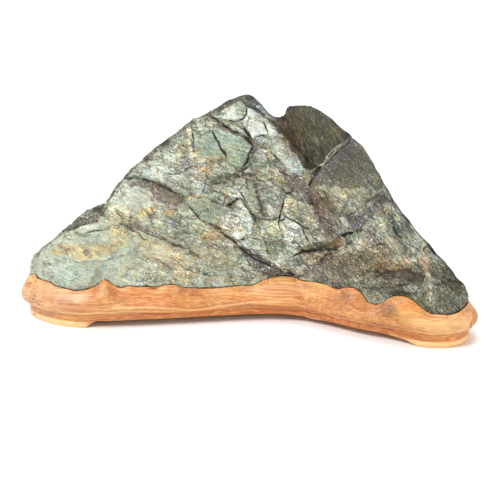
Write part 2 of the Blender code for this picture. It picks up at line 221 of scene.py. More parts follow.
def newTree(name, sockets):
    tree = bpy.data.node_groups.new(name, "GeometryNodeTree")
    tree.interface.new_socket("Geometry", in_out="INPUT", socket_type="NodeSocketGeometry")
    tree.interface.new_socket("Geometry", in_out="OUTPUT", socket_type="NodeSocketGeometry")
    for label, kind in sockets.items():
        tree.interface.new_socket(label, in_out="INPUT", socket_type="NodeSocket" + kind)
    return tree, tree.nodes.new("NodeGroupInput"), tree.nodes.new("NodeGroupOutput")


def closeTree(tree, geometry, material, ends):
    smooth = wire(tree, "GeometryNodeSetShadeSmooth", {"Geometry": geometry})
    real = wire(tree, "GeometryNodeRealizeInstances", {"Geometry": smooth.outputs[0]})
    dressed = wire(tree, "GeometryNodeSetMaterial", {"Geometry": real.outputs[0], "Material": material})
    tree.links.new(dressed.outputs[0], ends.inputs["Geometry"])


def applyTree(obj, tree, values, name):
    # runs the tree on obj with its named inputs set, and keeps the result as a plain mesh
    modifier = obj.modifiers.new(tree.name, "NODES")
    modifier.node_group = tree
    for item in tree.interface.items_tree:
        if item.in_out == "INPUT" and item.name in values:
            modifier[item.identifier] = values[item.name]
    made = plainMesh(obj, name)
    obj.modifiers.remove(modifier)
    return made


# Objects and meshes


def newObject(name, data):
    obj = bpy.data.objects.new(name, data)
    bpy.context.scene.collection.objects.link(obj)
    return obj


def plainMesh(obj, name):
    # obj's shape with its modifiers applied, as a new object
    bpy.context.view_layer.update()
    graph = bpy.context.evaluated_depsgraph_get()
    mesh = bpy.data.meshes.new_from_object(obj.evaluated_get(graph))
    mesh.name = name
    return newObject(name, mesh)


def discard(*objects):
    for obj in objects:
        bpy.data.objects.remove(obj)


def thinned(obj, most, name):
    # the same surface in fewer triangles, which stay small where it bends
    count = sum(len(face.vertices) - 2 for face in obj.data.polygons)
    modifier = obj.modifiers.new("thin", "DECIMATE")
    modifier.ratio = min(1.0, most / count)
    made = plainMesh(obj, name)
    discard(obj)
    return made


def mergedCopy(node, name):
    # a copy of a CAD node's loose triangles, joined into one skin
    shape = bmesh.new()
    shape.from_mesh(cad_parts[node].data)
    bmesh.ops.remove_doubles(shape, verts=shape.verts, dist=1e-6)
    mesh = bpy.data.meshes.new(name)
    shape.to_mesh(mesh)
    shape.free()
    return newObject(name, mesh)


def readPoints(mesh, field="co"):
    values = np.empty(len(mesh.vertices) * 3)
    mesh.vertices.foreach_get(field, values)
    return values.reshape(-1, 3)


def writePoints(mesh, points):
    mesh.vertices.foreach_set("co", np.ascontiguousarray(points, float).ravel())
    mesh.update()


def writeFields(mesh, fields):
    # each name with its value for every point
    for name, values in fields.items():
        field = mesh.attributes.new(name, "FLOAT", "POINT")
        field.data.foreach_set("value", np.ascontiguousarray(values, np.float32))


def meshEdges(mesh):
    edges = np.empty(len(mesh.edges) * 2, np.int64)
    mesh.edges.foreach_get("vertices", edges)
    return edges.reshape(-1, 2)


def spread(values, edges, rounds):
    # each value becomes the mean of itself and its neighbours, round after round
    first, second = edges.T
    size = len(values)
    count = np.bincount(edges.ravel(), minlength=size)
    for _ in range(rounds):
        total = np.bincount(first, values[second], size) + np.bincount(second, values[first], size)
        values = 0.5 * values + 0.5 * total / np.maximum(count, 1)
    return values


# What the photograph shows on the stone's front, in its pixels

# Cracks and grooves: half width in pixels, depth in mm, how dark, and the line
frontCracks = {
    "shoulderLedge": (2.4, 1.2, 0.6, [
        (122, 178), (135, 178), (150, 182), (160, 186), (170, 190), (180, 194)]),
    "leftCrack": (1.3, 0.8, 0.7, [(110, 210), (120, 216), (125, 224), (132, 229), (140, 236), (147, 240)]),
    "brownBand": (2.4, 0.8, 0.2, [(145, 229), (158, 236), (170, 243), (180, 246), (192, 250), (200, 256)]),
    "longDiagonal": (1.7, 1.4, 0.7, [
        (183, 203), (190, 208), (200, 218), (210, 223), (218, 228), (222, 234), (232, 240), (240, 247),
        (255, 259), (281, 271), (300, 277)]),
    "summitBand": (2.2, 1.3, 0.7, [
        (207, 115), (214, 118), (222, 124), (230, 129), (240, 134), (248, 139), (254, 146)]),
    "wedgeCrack": (1.5, 1.2, 0.8, [(246, 103), (246, 112), (243, 118), (236, 121), (228, 120)]),
    "wedgeGap": (1.3, 1.6, 1.0, [(242, 127), (246, 133), (252, 139)]),
    "ridgeBand": (2.6, 1.0, 0.5, [(244, 103), (252, 107), (260, 112), (268, 118), (276, 124)]),
    "slabLine": (1.1, 0.7, 0.8, [(262, 119), (265, 125), (267, 134)]),
    "keystoneSide": (1.2, 0.9, 0.7, [(268, 135), (267, 141), (262, 145)]),
    "blockCut": (1.1, 0.9, 1.0, [(192, 130), (192.5, 137), (193, 145), (194, 152)]),
    "blockGap": (1.5, 1.6, 1.0, [(212, 130), (215, 137), (220, 145), (223, 152), (225, 160)]),
    "greenEdge": (1.2, 1.4, 1.0, [(257, 146), (252, 148), (248, 154), (246, 162), (242, 168)]),
    "darkDot": (1.6, 1.4, 0.8, [(189, 173), (191, 175)]),
    "wedgeTop": (1.2, 0.8, 0.7, [(196, 198), (206, 197), (214, 201), (222, 205)]),
    "wedgeHollow": (1.8, 1.4, 0.9, [(226, 205), (232, 202), (240, 197)]),
    "brownGroove": (2.0, 1.5, 0.35, [(254, 181), (257, 195), (261, 205), (265, 216)]),
    "columnCrack": (1.3, 1.2, 0.7, [
        (240, 197), (244, 202), (248, 209), (254, 216), (256, 223), (259, 228), (260, 234)]),
    "squareFoot": (1.1, 0.9, 0.6, [(238, 240), (250, 237), (262, 240)]),
    "centreJoint": (1.2, 1.2, 0.9, [
        (289, 191), (286, 193), (283, 199), (281, 210), (278, 221), (280, 227)]),
    "centreHook": (1.8, 1.2, 1.0, [(281, 187), (285, 192), (291, 190), (294, 187)]),
    "centreFork": (1.1, 1.0, 0.8, [(258, 219), (266, 218), (274, 219), (281, 215)]),
    "centreTail": (1.3, 0.9, 1.0, [(279, 220), (284, 219), (285, 216)]),
    "centreRightCrack": (1.1, 1.0, 0.8, [(282, 214), (289, 219), (298, 223), (302, 227), (315, 230)]),
    "centreRightLine": (1.1, 0.8, 0.8, [(302, 227), (305, 235), (308, 243)]),
    "cavity": (3.2, 3.0, 1.0, [(341, 236), (347, 233), (352, 233)]),
    "smallCavity": (2.4, 2.2, 1.0, [(355, 230), (361, 230)]),
    "mossCrack": (2.6, 1.8, 1.0, [
        (294, 255), (303, 251), (310, 249.5), (318, 249.5), (326, 250), (336, 249)]),
    "flankTrough": (2.2, 1.0, 0.5, [(360, 286), (375, 289), (392, 287), (405, 284), (412, 281)]),
    "apronTrough": (3.0, 1.2, 0.5, [(375, 276), (385, 273), (400, 270), (412, 272), (422, 276)]),
    "edgeGap": (2.4, 1.4, 1.0, [(430, 246), (433, 250), (436, 255)]),
    "secondPeakGap": (1.4, 2.2, 1.0, [
        (350, 139), (340, 148), (332, 155), (325, 162), (318, 168), (312, 178), (309, 184)]),
    "quartzTail": (1.1, 0.9, 0.8, [(357, 210), (345, 217)]),
    "toeCrack": (1.0, 0.7, 0.5, [(72, 232), (80, 236)]),
    "toeBranch": (1.0, 0.8, 0.6, [(83, 239), (85, 233), (92, 231), (105, 228), (112, 226)]),
    "apronLine": (0.9, 0.6, 0.4, [(122, 260), (130, 270), (140, 285)]),
    "apronFork": (1.0, 0.7, 0.5, [(152, 258), (160, 261), (170, 268)]),
    "apronDark": (1.6, 0.8, 0.35, [(170, 268), (178, 270)]),
    "flankLine": (1.1, 0.9, 0.8, [(383, 211), (390, 222), (397, 233), (404, 243)]),
    "backSlabEdge": (1.4, 1.2, 0.25, [(68, 230), (80, 226), (95, 222), (105, 209)]),
    "keystoneTop": (1.2, 0.9, 0.8, [(255, 137), (262, 134.5), (268, 135)]),
    "veinCrack": (1.2, 0.9, 0.7, [(238, 188), (243, 197), (249, 206)]),
    "slabFootLine": (1.3, 0.9, 0.7, [(270, 150), (275, 158), (288, 170), (298, 178)]),
    "peakGap": (2.4, 2.2, 1.0, [(319, 168), (313, 176), (308, 184)]),
    "apronCurve": (1.3, 0.8, 0.6, [(355, 245), (362, 252), (370, 256), (376, 258)]),
    "flankHook": (1.3, 0.8, 0.7, [(372, 246), (380, 244), (388, 246)]),
    "layerLine": (1.3, 0.7, 0.4, [(352, 282), (365, 283), (380, 284), (392, 282)]),
    "mossBranch": (1.2, 0.8, 0.7, [(333, 248), (344, 244), (352, 240)]),
    "toeSplit": (1.3, 0.8, 0.5, [(431, 283), (440, 284), (450, 280), (462, 282)]),
    "slantedJoint": (1.4, 0.9, 0.7, [(318, 262), (326, 254), (340, 250)]),
    "rightJoint": (1.2, 0.8, 0.6, [(322, 190), (330, 204), (336, 214), (342, 228)]),
    "purpleJoint": (1.2, 0.8, 0.6, [(306, 190), (314, 206), (322, 222)]),
    "leftSkinLine": (1.2, 0.7, 0.6, [(160, 172), (172, 174), (184, 172), (190, 166)]),
    "paleCut": (1.1, 0.7, 0.6, [(206, 178), (203, 190), (198, 197)]),
    "yellowCrack": (0.9, 0.7, 0.6, [(186, 201), (196, 198), (208, 196), (218, 201)]),
    "apronLowLine": (0.9, 0.6, 0.6, [(176, 262), (192, 272), (214, 276)]),
    "doubleLine": (0.9, 0.5, 0.6, [(125, 222), (140, 230), (156, 237), (176, 245), (200, 256)]),
}
# Ledges, drawn so that the side on the left of the drawing direction stands proud:
# height in mm, how far it fades in pixels, and the line
frontLedges = {
    "shoulderLip": (1.1, 14, [(122, 181), (135, 176), (150, 179), (161, 183), (171, 187), (185, 194)]),
    "overhang": (2.2, 16, [
        (240, 245), (246, 247), (251, 251), (262, 260), (272, 261), (280, 267), (290, 272), (300, 276)]),
    "diagonalLip": (0.9, 10, [(185, 203), (200, 216), (218, 226), (232, 238)]),
    "squareRight": (1.1, 9, [(252, 236), (253, 222), (247, 209), (240, 200)]),
    "squareUnder": (0.8, 7, [(222, 230), (238, 239), (250, 236)]),
    "greenUnder": (1.5, 10, [(224, 178), (232, 174), (241, 168), (246, 157), (252, 147), (257, 144)]),
    "greenLeft": (0.8, 8, [(194, 132), (194, 148), (196, 158)]),
    "wedgeUnder": (1.3, 8, [(223, 206), (232, 202), (240, 197)]),
    "summitUnder": (1.2, 9, [(196, 122), (206, 119), (222, 127), (236, 121)]),
    "slabUnder": (1.1, 9, [(243, 124), (252, 139), (256, 134), (268, 134)]),
    "slabSide": (1.2, 12, [(300, 168), (290, 150), (279, 134), (268, 122)]),
    "mossLip": (1.6, 8, [(300, 249), (316, 247), (333, 246)]),
    "secondPeakLip": (0.6, 8, [(308, 170), (321, 163), (332, 151), (345, 141), (349, 136)]),
    "quartzLip": (1.0, 14, [(345, 216), (358, 209), (370, 199), (378, 192), (385, 184)]),
    "flankLip": (1.3, 16, [(340, 233), (352, 231), (362, 226), (372, 212)]),
    "apronLip": (1.2, 12, [(343, 285), (360, 281), (372, 286), (388, 283), (412, 284)]),
    "toeBandTop": (0.7, 10, [(52, 246), (70, 247), (90, 246), (112, 243)]),
    "toeRidge": (0.9, 12, [(68, 256), (80, 262), (100, 261), (112, 257), (125, 255), (140, 249)]),
    "branchLip": (0.7, 9, [(70, 231), (84, 236), (92, 230), (112, 225)]),
    "apronForkLip": (0.6, 8, [(150, 258), (160, 261), (172, 270), (186, 276)]),
    "lowLip": (0.7, 9, [(206, 266), (222, 270), (238, 277), (250, 284)]),
    "centreLip": (0.9, 8, [(261, 217), (277, 219), (283, 213), (297, 217), (313, 227)]),
    "brownLip": (0.9, 10, [(291, 188), (300, 196), (312, 212), (322, 226)]),
    "notchLip": (0.8, 8, [(276, 190), (270, 181), (256, 182)]),
    "greenFootLip": (0.7, 8, [(196, 162), (210, 162), (224, 160)]),
}

# Patches of colour: kind, strength, softness of the edge in pixels, and the outline
frontPatches = {
    "secondPeak": ("olive", 1.0, 1.2, [
        (268, 108), (292, 100), (330, 108), (352, 130), (349, 138), (331, 151), (321, 164), (308, 171),
        (305, 166), (290, 143), (276, 124)]),
    "rightSlab": ("slab", 1.0, 4.0, [
        (349, 138), (364, 140), (386, 182), (378, 190), (362, 187), (348, 189), (334, 186), (322, 187),
        (309, 185), (308, 172), (320, 165), (331, 152)]),
    "flankDark": ("slab", 0.42, 3.0, [
        (357, 209), (384, 186), (432, 250), (405, 262), (372, 250), (340, 224)]),
    "flankEdge": ("slab", 0.4, 2.0, [(384, 180), (474, 300), (462, 300), (420, 252), (378, 190)]),
    "right": ("slab", 0.5, 4.0, [
        (300, 252), (330, 250), (372, 250), (405, 262), (440, 254), (474, 298), (458, 318), (425, 316),
        (400, 300), (378, 306), (350, 290), (318, 286)]),
    "toeDark": ("olive", 0.55, 3.0, [
        (430, 250), (476, 298), (458, 318), (425, 316), (416, 300), (432, 280), (421, 262)]),
    # painted shade under the overhang, in the slate colour
    "overhangShade": ("slate", 1.0, 1.2, [
        (238, 245), (252, 248), (266, 258), (284, 266), (301, 277), (292, 280), (276, 277), (262, 274),
        (250, 266), (242, 255)]),
    "slateRight": ("slate", 0.6, 3.0, [
        (300, 277), (318, 272), (345, 286), (372, 306), (352, 292), (318, 286)]),
    # painted shade on the back slab's shadowed face
    "backSlabShade": ("slab", 0.9, 1.0, [(60, 230), (80, 214), (105, 202), (107, 208), (95, 221), (70, 231)]),
    "ledgeShade": ("umber", 0.85, 2.0, [
        (130, 181), (140, 180), (152, 184), (171, 189), (186, 196), (180, 201), (160, 192), (146, 187),
        (130, 186)]),
    "shoulderBrown": ("rust", 0.45, 5.0, [
        (150, 186), (176, 196), (185, 206), (176, 216), (154, 212), (146, 198)]),
    "shoulderOlive": ("moss", 0.6, 3.0, [(170, 191), (186, 192), (190, 199), (182, 202), (172, 198)]),
    "band": ("umber", 0.34, 2.0, [
        (143, 227), (158, 233), (180, 243), (202, 254), (198, 260), (178, 250), (156, 240), (143, 232)]),
    "diagonalBand": ("rust", 0.5, 1.8, [
        (200, 216), (220, 228), (240, 245), (236, 249), (214, 232), (198, 220)]),
    "summitBandTint": ("umber", 0.85, 1.2, [
        (211, 116), (224, 123), (246, 135), (268, 147), (266, 151), (240, 138), (220, 128), (210, 119)]),
    "ridgeTint": ("umber", 0.85, 1.4, [
        (244, 100), (258, 109), (278, 124), (286, 134), (280, 132), (264, 119), (246, 106)]),
    "upperRust": ("rust", 0.42, 4.0, [(178, 136), (190, 134), (192, 150), (182, 160), (176, 150)]),
    "greenOne": ("green", 0.8, 1.6, [(194, 129), (212, 129), (222, 152), (212, 157), (196, 156)]),
    "greenTwo": ("green", 0.95, 1.6, [
        (218, 132), (244, 138), (251, 149), (245, 156), (243, 166), (232, 171), (226, 160)]),
    "shoulderPale": ("pale", 0.5, 1.6, [
        (108, 203), (114, 186), (124, 181), (138, 187), (153, 199), (157, 203), (142, 210), (130, 216),
        (112, 208)]),
    "topPale": ("pale", 0.6, 3.0, [(136, 176), (158, 164), (178, 170), (186, 180), (166, 184), (148, 178)]),
    "squarePale": ("pale", 0.8, 1.2, [
        (221, 226), (229, 212), (240, 202), (250, 212), (255, 226), (254, 231), (237, 240), (226, 233)]),
    "whiteSpot": ("pale", 0.9, 2.0, [(191, 178), (202, 182), (204, 190), (198, 198), (192, 188)]),
    "centreRightPale": ("pale", 0.7, 2.5, [(308, 234), (322, 232), (324, 240), (310, 243)]),
    "rowRust": ("umber", 0.62, 1.4, [
        (253, 182), (257, 184), (261, 200), (264, 214), (261, 214), (256, 200)]),
    "ochreBand": ("ochre", 0.52, 3.0, [
        (46, 247), (60, 243), (84, 243), (112, 241), (130, 232), (136, 240), (124, 250), (104, 258),
        (84, 261), (66, 257), (50, 254)]),
    "ochreCore": ("cream", 0.5, 3.0, [
        (48, 244), (72, 245), (98, 244), (112, 238), (124, 232), (124, 242), (98, 252), (66, 254)]),
    "upperOchre": ("ochre", 0.58, 3.0, [
        (131, 216), (144, 206), (158, 202), (157, 212), (146, 216), (136, 220)]),
    "apronOchre": ("ochre", 0.35, 6.0, [(122, 262), (172, 262), (200, 284), (170, 284), (124, 286)]),
    "peach": ("ochre", 0.6, 2.5, [(198, 232), (214, 229), (219, 236), (210, 242), (196, 240)]),
    "blueGrey": ("lilac", 0.6, 4.0, [(163, 216), (172, 212), (180, 220), (174, 230), (165, 227)]),
    "lowSpeckle": ("umber", 0.3, 8.0, [
        (170, 250), (206, 256), (240, 256), (258, 280), (200, 286), (172, 284)]),
    "mossLedge": ("moss", 1.0, 1.0, [
        (306, 243), (318, 240), (334, 240), (335, 249), (316, 250), (306, 250)]),
    "rustPatch": ("rust", 0.9, 2.5, [(331, 237), (339, 235), (342, 241), (338, 248), (332, 246)]),
    "toeBlue": ("blue", 0.5, 3.0, [
        (66, 256), (82, 261), (112, 257), (140, 249), (140, 253), (112, 262), (82, 266), (66, 262)]),
    "bandUnderLedge": ("umber", 0.85, 2.0, [
        (148, 188), (166, 191), (182, 201), (176, 211), (166, 206), (156, 200)]),
    "leftWarm": ("ochre", 0.36, 9.0, [
        (100, 210), (140, 200), (190, 206), (232, 240), (250, 280), (150, 286), (112, 262)]),
    "bandWarm": ("rust", 0.34, 8.0, [
        (140, 236), (180, 246), (224, 236), (232, 256), (184, 286), (150, 262)]),
    "toe": ("calm", 0.9, 4.0, [
        (24, 290), (24, 250), (70, 222), (104, 222), (140, 242), (136, 262), (112, 294)]),
    "apron": ("calm", 0.45, 6.0, [(112, 262), (170, 246), (240, 250), (240, 294), (112, 294)]),
    "greenCalm": ("calm", 0.7, 2.0, [
        (194, 128), (214, 128), (224, 133), (238, 136), (251, 147), (246, 154), (242, 168), (228, 170),
        (222, 158), (196, 158)]),
    "shoulder": ("calm", 0.4, 5.0, [
        (100, 210), (126, 178), (160, 160), (188, 172), (150, 192), (130, 216)]),
    "slabCalm": ("calm", 0.7, 2.0, [(346, 132), (392, 186), (366, 200), (306, 186), (318, 166)]),
    "peakCalm": ("calm", 0.8, 1.5, [(268, 104), (330, 104), (352, 136), (308, 172)]),
    # the notch's face in the main peak's shadow: painted shade
    "notchStrip": ("deepShade", 0.95, 2.0, [
        (268, 112), (282, 112), (291, 125), (300, 143), (309, 160), (307, 172), (288, 144), (272, 122)]),
    "peakFoot": ("deepShade", 0.5, 4.0, [(292, 140), (312, 142), (322, 160), (308, 172)]),
    "summitPale": ("pale", 1.0, 1.2, [
        (217, 117), (222, 110), (233, 106), (240, 110), (241, 117), (233, 121)]),
    "wedgeSage": ("green", 0.45, 2.0, [(232, 104), (244, 100), (246, 112), (236, 121), (241, 112)]),
    "keystonePale": ("pale", 1.0, 1.0, [
        (242, 121), (247, 107), (252, 108), (258, 112), (264, 120), (268, 132), (262, 136), (253, 138),
        (247, 130)]),
    "smallKeystone": ("blue", 0.9, 1.0, [
        (255, 137), (262, 134), (268, 135), (266, 142), (260, 145), (254, 140)]),
    "slabPale": ("pale", 0.6, 2.0, [
        (264, 121), (275, 125), (288, 142), (284, 150), (298, 170), (290, 174), (276, 156), (268, 134)]),
    "slabLilac": ("lilac", 0.6, 3.0, [(276, 133), (284, 136), (298, 158), (296, 168), (286, 156)]),
    "upperDark": ("lilac", 0.34, 4.0, [
        (150, 156), (166, 142), (178, 136), (184, 150), (178, 164), (160, 166)]),
    "upperLilac": ("lilac", 0.4, 3.0, [(176, 158), (190, 152), (192, 170), (186, 176), (174, 170)]),
    "besideGreen": ("lilac", 0.6, 2.0, [
        (250, 147), (260, 146), (270, 154), (270, 160), (260, 156), (252, 152)]),
    "besideStreak": ("cream", 0.9, 1.0, [(261, 146), (268, 148), (274, 158), (271, 160)]),
    "screeRust": ("rust", 0.55, 4.0, [
        (193, 160), (206, 160), (222, 156), (228, 162), (214, 170), (204, 182), (192, 178)]),
    "darkWedge": ("moss", 0.6, 2.0, [
        (206, 178), (214, 172), (230, 172), (234, 176), (226, 184), (212, 187)]),
    "wedgePale": ("pale", 0.85, 1.4, [(227, 190), (236, 185), (243, 190), (240, 198), (230, 202)]),
    "underGreen": ("umber", 0.45, 4.0, [(232, 174), (250, 164), (256, 172), (248, 184), (234, 186)]),
    "olivePatch": ("cream", 0.65, 3.0, [(258, 166), (270, 164), (284, 174), (284, 184), (266, 182)]),
    "underSlab": ("umber", 1.0, 2.0, [
        (276, 163), (288, 171), (298, 179), (306, 178), (304, 194), (290, 191), (286, 182), (279, 172)]),
    "paleScree": ("cream", 0.55, 4.0, [(246, 170), (262, 172), (274, 180), (262, 184), (248, 182)]),
    "columnPale": ("pale", 0.5, 3.0, [(262, 182), (274, 180), (282, 192), (278, 200), (266, 200)]),
    "dotsOchre": ("ochre", 1.0, 1.4, [(277, 177), (283, 176), (285, 184), (280, 187), (276, 183)]),
    "dotsOchreRight": ("ochre", 1.0, 1.4, [(303, 171), (310, 172), (309, 181), (304, 180)]),
    "creamFace": ("cream", 0.6, 2.0, [
        (283, 197), (292, 196), (298, 206), (298, 216), (290, 218), (283, 212)]),
    "purple": ("umber", 0.85, 2.5, [
        (298, 188), (312, 185), (320, 198), (328, 214), (336, 232), (326, 236), (316, 216), (306, 200)]),
    "centrePale": ("pale", 0.72, 2.0, [
        (279, 222), (296, 222), (303, 229), (304, 247), (294, 248), (284, 238)]),
    "centreGreen": ("green", 0.7, 4.0, [(262, 222), (280, 224), (284, 246), (272, 256), (258, 244)]),
    "rightSage": ("green", 0.6, 4.0, [(322, 192), (336, 200), (344, 222), (338, 232), (328, 212)]),
    "underSlabOlive": ("moss", 0.45, 5.0, [
        (332, 187), (350, 184), (378, 188), (366, 202), (356, 210), (344, 200)]),
    "underSlabShade": ("slab", 0.35, 6.0, [(330, 186), (380, 184), (378, 192), (358, 208), (340, 204)]),
    "quartzPurple": ("lilac", 0.95, 2.0, [
        (361, 210), (370, 201), (380, 191), (388, 192), (386, 204), (374, 212), (370, 218)]),
    "quartzUmber": ("umber", 0.45, 3.0, [(361, 208), (384, 190), (390, 204), (372, 220)]),
    "lowPurple": ("lilac", 0.9, 2.0, [
        (350, 214), (360, 212), (366, 220), (362, 229), (350, 230), (345, 224)]),
    "lowPurpleShade": ("slate", 0.8, 3.0, [(346, 216), (364, 214), (362, 230), (346, 230)]),
    "cavityTan": ("ochre", 0.95, 1.2, [(348, 226), (353, 228), (353, 234), (348, 232)]),
    "cavityPale": ("pale", 0.8, 2.0, [(352, 239), (360, 238), (363, 246), (357, 249)]),
    "flankCream": ("cream", 0.55, 2.5, [
        (372, 210), (379, 214), (390, 232), (400, 250), (394, 254), (384, 238)]),
    "flankRust": ("rust", 0.6, 3.0, [(378, 206), (392, 206), (394, 214), (380, 216)]),
    "flankMoss": ("moss", 0.7, 3.0, [(386, 214), (396, 214), (412, 240), (406, 246), (392, 230)]),
    "flankGrey": ("slab", 0.5, 4.0, [(362, 228), (376, 222), (386, 240), (372, 250), (362, 244)]),
    "flankLilac": ("lilac", 0.6, 4.0, [
        (404, 236), (418, 240), (434, 256), (430, 264), (414, 258), (402, 246)]),
    "apronYellow": ("ochre", 0.5, 4.0, [(302, 252), (330, 252), (338, 262), (322, 268), (304, 262)]),
    "apronShade": ("umber", 0.7, 4.0, [
        (316, 260), (330, 252), (352, 250), (362, 262), (360, 280), (340, 276), (322, 270)]),
    "apronGreen": ("green", 0.6, 3.0, [(352, 266), (362, 264), (366, 274), (354, 274)]),
    "apronBrown": ("umber", 0.7, 4.0, [
        (362, 256), (400, 262), (420, 268), (424, 284), (400, 288), (376, 282), (360, 270)]),
    "apronRust": ("rust", 0.75, 4.0, [(364, 252), (384, 252), (398, 264), (392, 272), (374, 268)]),
    "apronOlive": ("moss", 0.6, 4.0, [(350, 244), (372, 256), (378, 276), (362, 270), (350, 258)]),
    "apronDeep": ("deepShade", 0.75, 3.0, [
        (376, 272), (400, 268), (426, 272), (424, 284), (400, 280), (380, 282)]),
    "paleStone": ("lilac", 0.45, 3.0, [(388, 276), (404, 274), (408, 282), (396, 287), (388, 284)]),
    "layers": ("blue", 0.35, 3.0, [
        (352, 284), (372, 284), (410, 282), (412, 290), (384, 292), (374, 300), (362, 294)]),
    "cornerShade": ("slate", 0.6, 4.0, [
        (300, 262), (320, 262), (322, 274), (350, 284), (338, 288), (312, 280), (300, 277)]),
    "toeMoss": ("moss", 0.6, 3.0, [(436, 254), (448, 262), (468, 290), (458, 300), (440, 290), (432, 272)]),
    "peakTip": ("slab", 0.85, 2.5, [
        (226, 101), (240, 92), (248, 90), (262, 102), (268, 112), (258, 107), (247, 103), (236, 102)]),
    "slabTop": ("slate", 0.85, 3.0, [
        (316, 174), (330, 156), (350, 138), (360, 142), (347, 158), (328, 174)]),
    "rightShade": ("umber", 0.5, 8.0, [
        (294, 186), (330, 186), (352, 214), (350, 262), (306, 262), (304, 236)]),
    "mossShade": ("slate", 0.5, 3.0, [(282, 250), (303, 251), (308, 262), (298, 270), (284, 264)]),
    "mossLeft": ("moss", 0.5, 3.0, [(294, 236), (306, 236), (312, 246), (302, 251), (294, 246)]),
    "rightWarm": ("rust", 0.46, 9.0, [
        (344, 244), (420, 250), (440, 262), (430, 296), (380, 290), (346, 276)]),
    "rightMoss": ("moss", 0.42, 9.0, [
        (340, 244), (430, 240), (470, 296), (430, 312), (380, 300), (340, 280)]),
    "veinPale": ("pink", 0.6, 3.0, [(420, 254), (430, 257), (431, 268), (424, 266)]),
    "dip": ("dip", 1.0, 0.8, [
        (306, 172), (300, 190), (310, 206), (322, 228), (303, 250), (290, 272), (300, 296), (480, 340),
        (490, 290), (360, 120)]),
    "gritOne": ("gritty", 0.7, 8.0, [
        (192, 162), (230, 168), (250, 154), (280, 176), (300, 188), (330, 186), (345, 230), (300, 262),
        (240, 246), (200, 220), (192, 196)]),
    "gritTwo": ("gritty", 0.6, 5.0, [(172, 128), (194, 130), (196, 160), (170, 170)]),
    "gritThree": ("gritty", 0.6, 8.0, [
        (160, 250), (200, 256), (240, 256), (250, 286), (190, 290), (160, 280)]),
    "gritFour": ("gritty", 0.6, 8.0, [
        (350, 206), (390, 196), (440, 250), (470, 300), (430, 316), (420, 270), (370, 250)]),
    "gritSlab": ("gritty", 0.8, 4.0, [(274, 136), (286, 140), (304, 168), (292, 176), (280, 158)]),
    "slabBlue": ("blue", 0.62, 2.0, [
        (270, 124), (280, 130), (306, 168), (298, 177), (286, 162), (276, 146)]),
    "screeOchre": ("ochre", 0.45, 4.0, [(194, 164), (214, 160), (224, 164), (210, 176), (196, 180)]),
    "ochreSpot": ("ochre", 0.85, 2.0, [(163, 207), (172, 210), (178, 216), (170, 216), (162, 212)]),
    "yellowLine": ("ochre", 0.8, 1.2, [
        (181, 200), (192, 194), (206, 195), (206, 198), (194, 197), (184, 203)]),
    "keystoneCalm": ("calm", 0.85, 1.2, [
        (244, 122), (248, 107), (254, 108), (264, 120), (268, 132), (262, 136), (252, 138)]),
    "wedgeCalm": ("calm", 0.8, 1.2, [
        (218, 117), (222, 109), (236, 104), (243, 106), (241, 117), (232, 121)]),
    "blockShade": ("moss", 0.36, 5.0, [
        (200, 140), (220, 148), (224, 156), (240, 150), (243, 166), (228, 168), (206, 156)]),
    "blockOchre": ("ochre", 0.5, 2.0, [
        (193, 146), (200, 156), (224, 155), (226, 160), (212, 163), (194, 160)]),
    "blockLeft": ("cream", 0.7, 1.6, [(186, 128), (191, 128), (192, 146), (196, 156), (188, 152)]),
    "notchTop": ("deepShade", 1.0, 1.6, [(270, 112), (283, 112), (288, 124), (280, 128), (272, 120)]),
    "wedgeFace": ("green", 0.75, 1.2, [
        (184, 202), (203, 197), (222, 205), (219, 214), (212, 222), (200, 216)]),
    "oliveFace": ("green", 0.6, 2.0, [
        (176, 211), (190, 214), (208, 226), (206, 234), (190, 238), (178, 230)]),
    "leftCalm": ("calm", 0.8, 3.0, [
        (110, 200), (114, 184), (128, 181), (156, 203), (133, 216), (112, 208)]),
    "lumpCalm": ("calm", 0.95, 3.0, [(132, 230), (170, 236), (172, 262), (132, 260)]),
    "lumpCalmTwo": ("calm", 0.9, 2.0, [(160, 184), (190, 190), (186, 206), (160, 202)]),
    "faceCalm": ("calm", 0.8, 1.5, [(184, 202), (203, 197), (222, 205), (212, 222), (200, 216)]),
    "centreCream": ("cream", 0.55, 2.0, [(257, 220), (278, 220), (281, 230), (270, 234), (259, 232)]),
    "centreOlive": ("moss", 0.55, 3.0, [(262, 233), (272, 234), (288, 248), (284, 253), (272, 246)]),
    "mossCalm": ("calm", 0.5, 2.0, [
        (305, 242), (334, 239), (342, 236), (342, 248), (316, 250), (306, 250)]),
    "bandMauve": ("umber", 0.65, 2.0, [(79, 250), (88, 248), (93, 252), (86, 257)]),
    "neckRust": ("rust", 0.45, 3.0, [(111, 208), (126, 210), (132, 215), (122, 217), (112, 213)]),
    "slateBlob": ("slate", 0.6, 1.5, [(318, 263), (325, 254), (335, 252), (334, 258), (326, 264)]),
    "paleBlob": ("green", 0.8, 2.0, [(320, 267), (328, 261), (341, 263), (344, 269), (332, 273)]),
    "besideMoss": ("green", 0.7, 2.5, [(250, 157), (262, 156), (276, 166), (262, 171), (248, 168)]),
    "steepGrey": ("lilac", 0.7, 2.0, [(184, 153), (190, 149), (192, 164), (188, 175), (182, 168)]),
    "flankDusk": ("lilac", 0.7, 2.0, [(362, 230), (374, 226), (382, 240), (378, 248), (366, 244)]),
    "flankWhite": ("pale", 0.9, 1.5, [(353, 236), (361, 238), (363, 247), (356, 249)]),
    "toeTeal": ("blue", 0.8, 2.0, [(458, 284), (466, 290), (470, 300), (458, 309), (452, 306), (461, 297)]),
    "summitPlane": ("calm", 0.6, 3.0, [
        (216, 108), (246, 98), (306, 166), (290, 178), (272, 150), (244, 124)]),
    "toePlain": ("blue", 0.45, 6.0, [
        (32, 262), (60, 258), (84, 267), (114, 263), (108, 284), (88, 292), (58, 290)]),
    "quartzSlate": ("slate", 0.6, 2.5, [
        (360, 212), (372, 201), (382, 189), (389, 198), (380, 208), (368, 214)]),
}
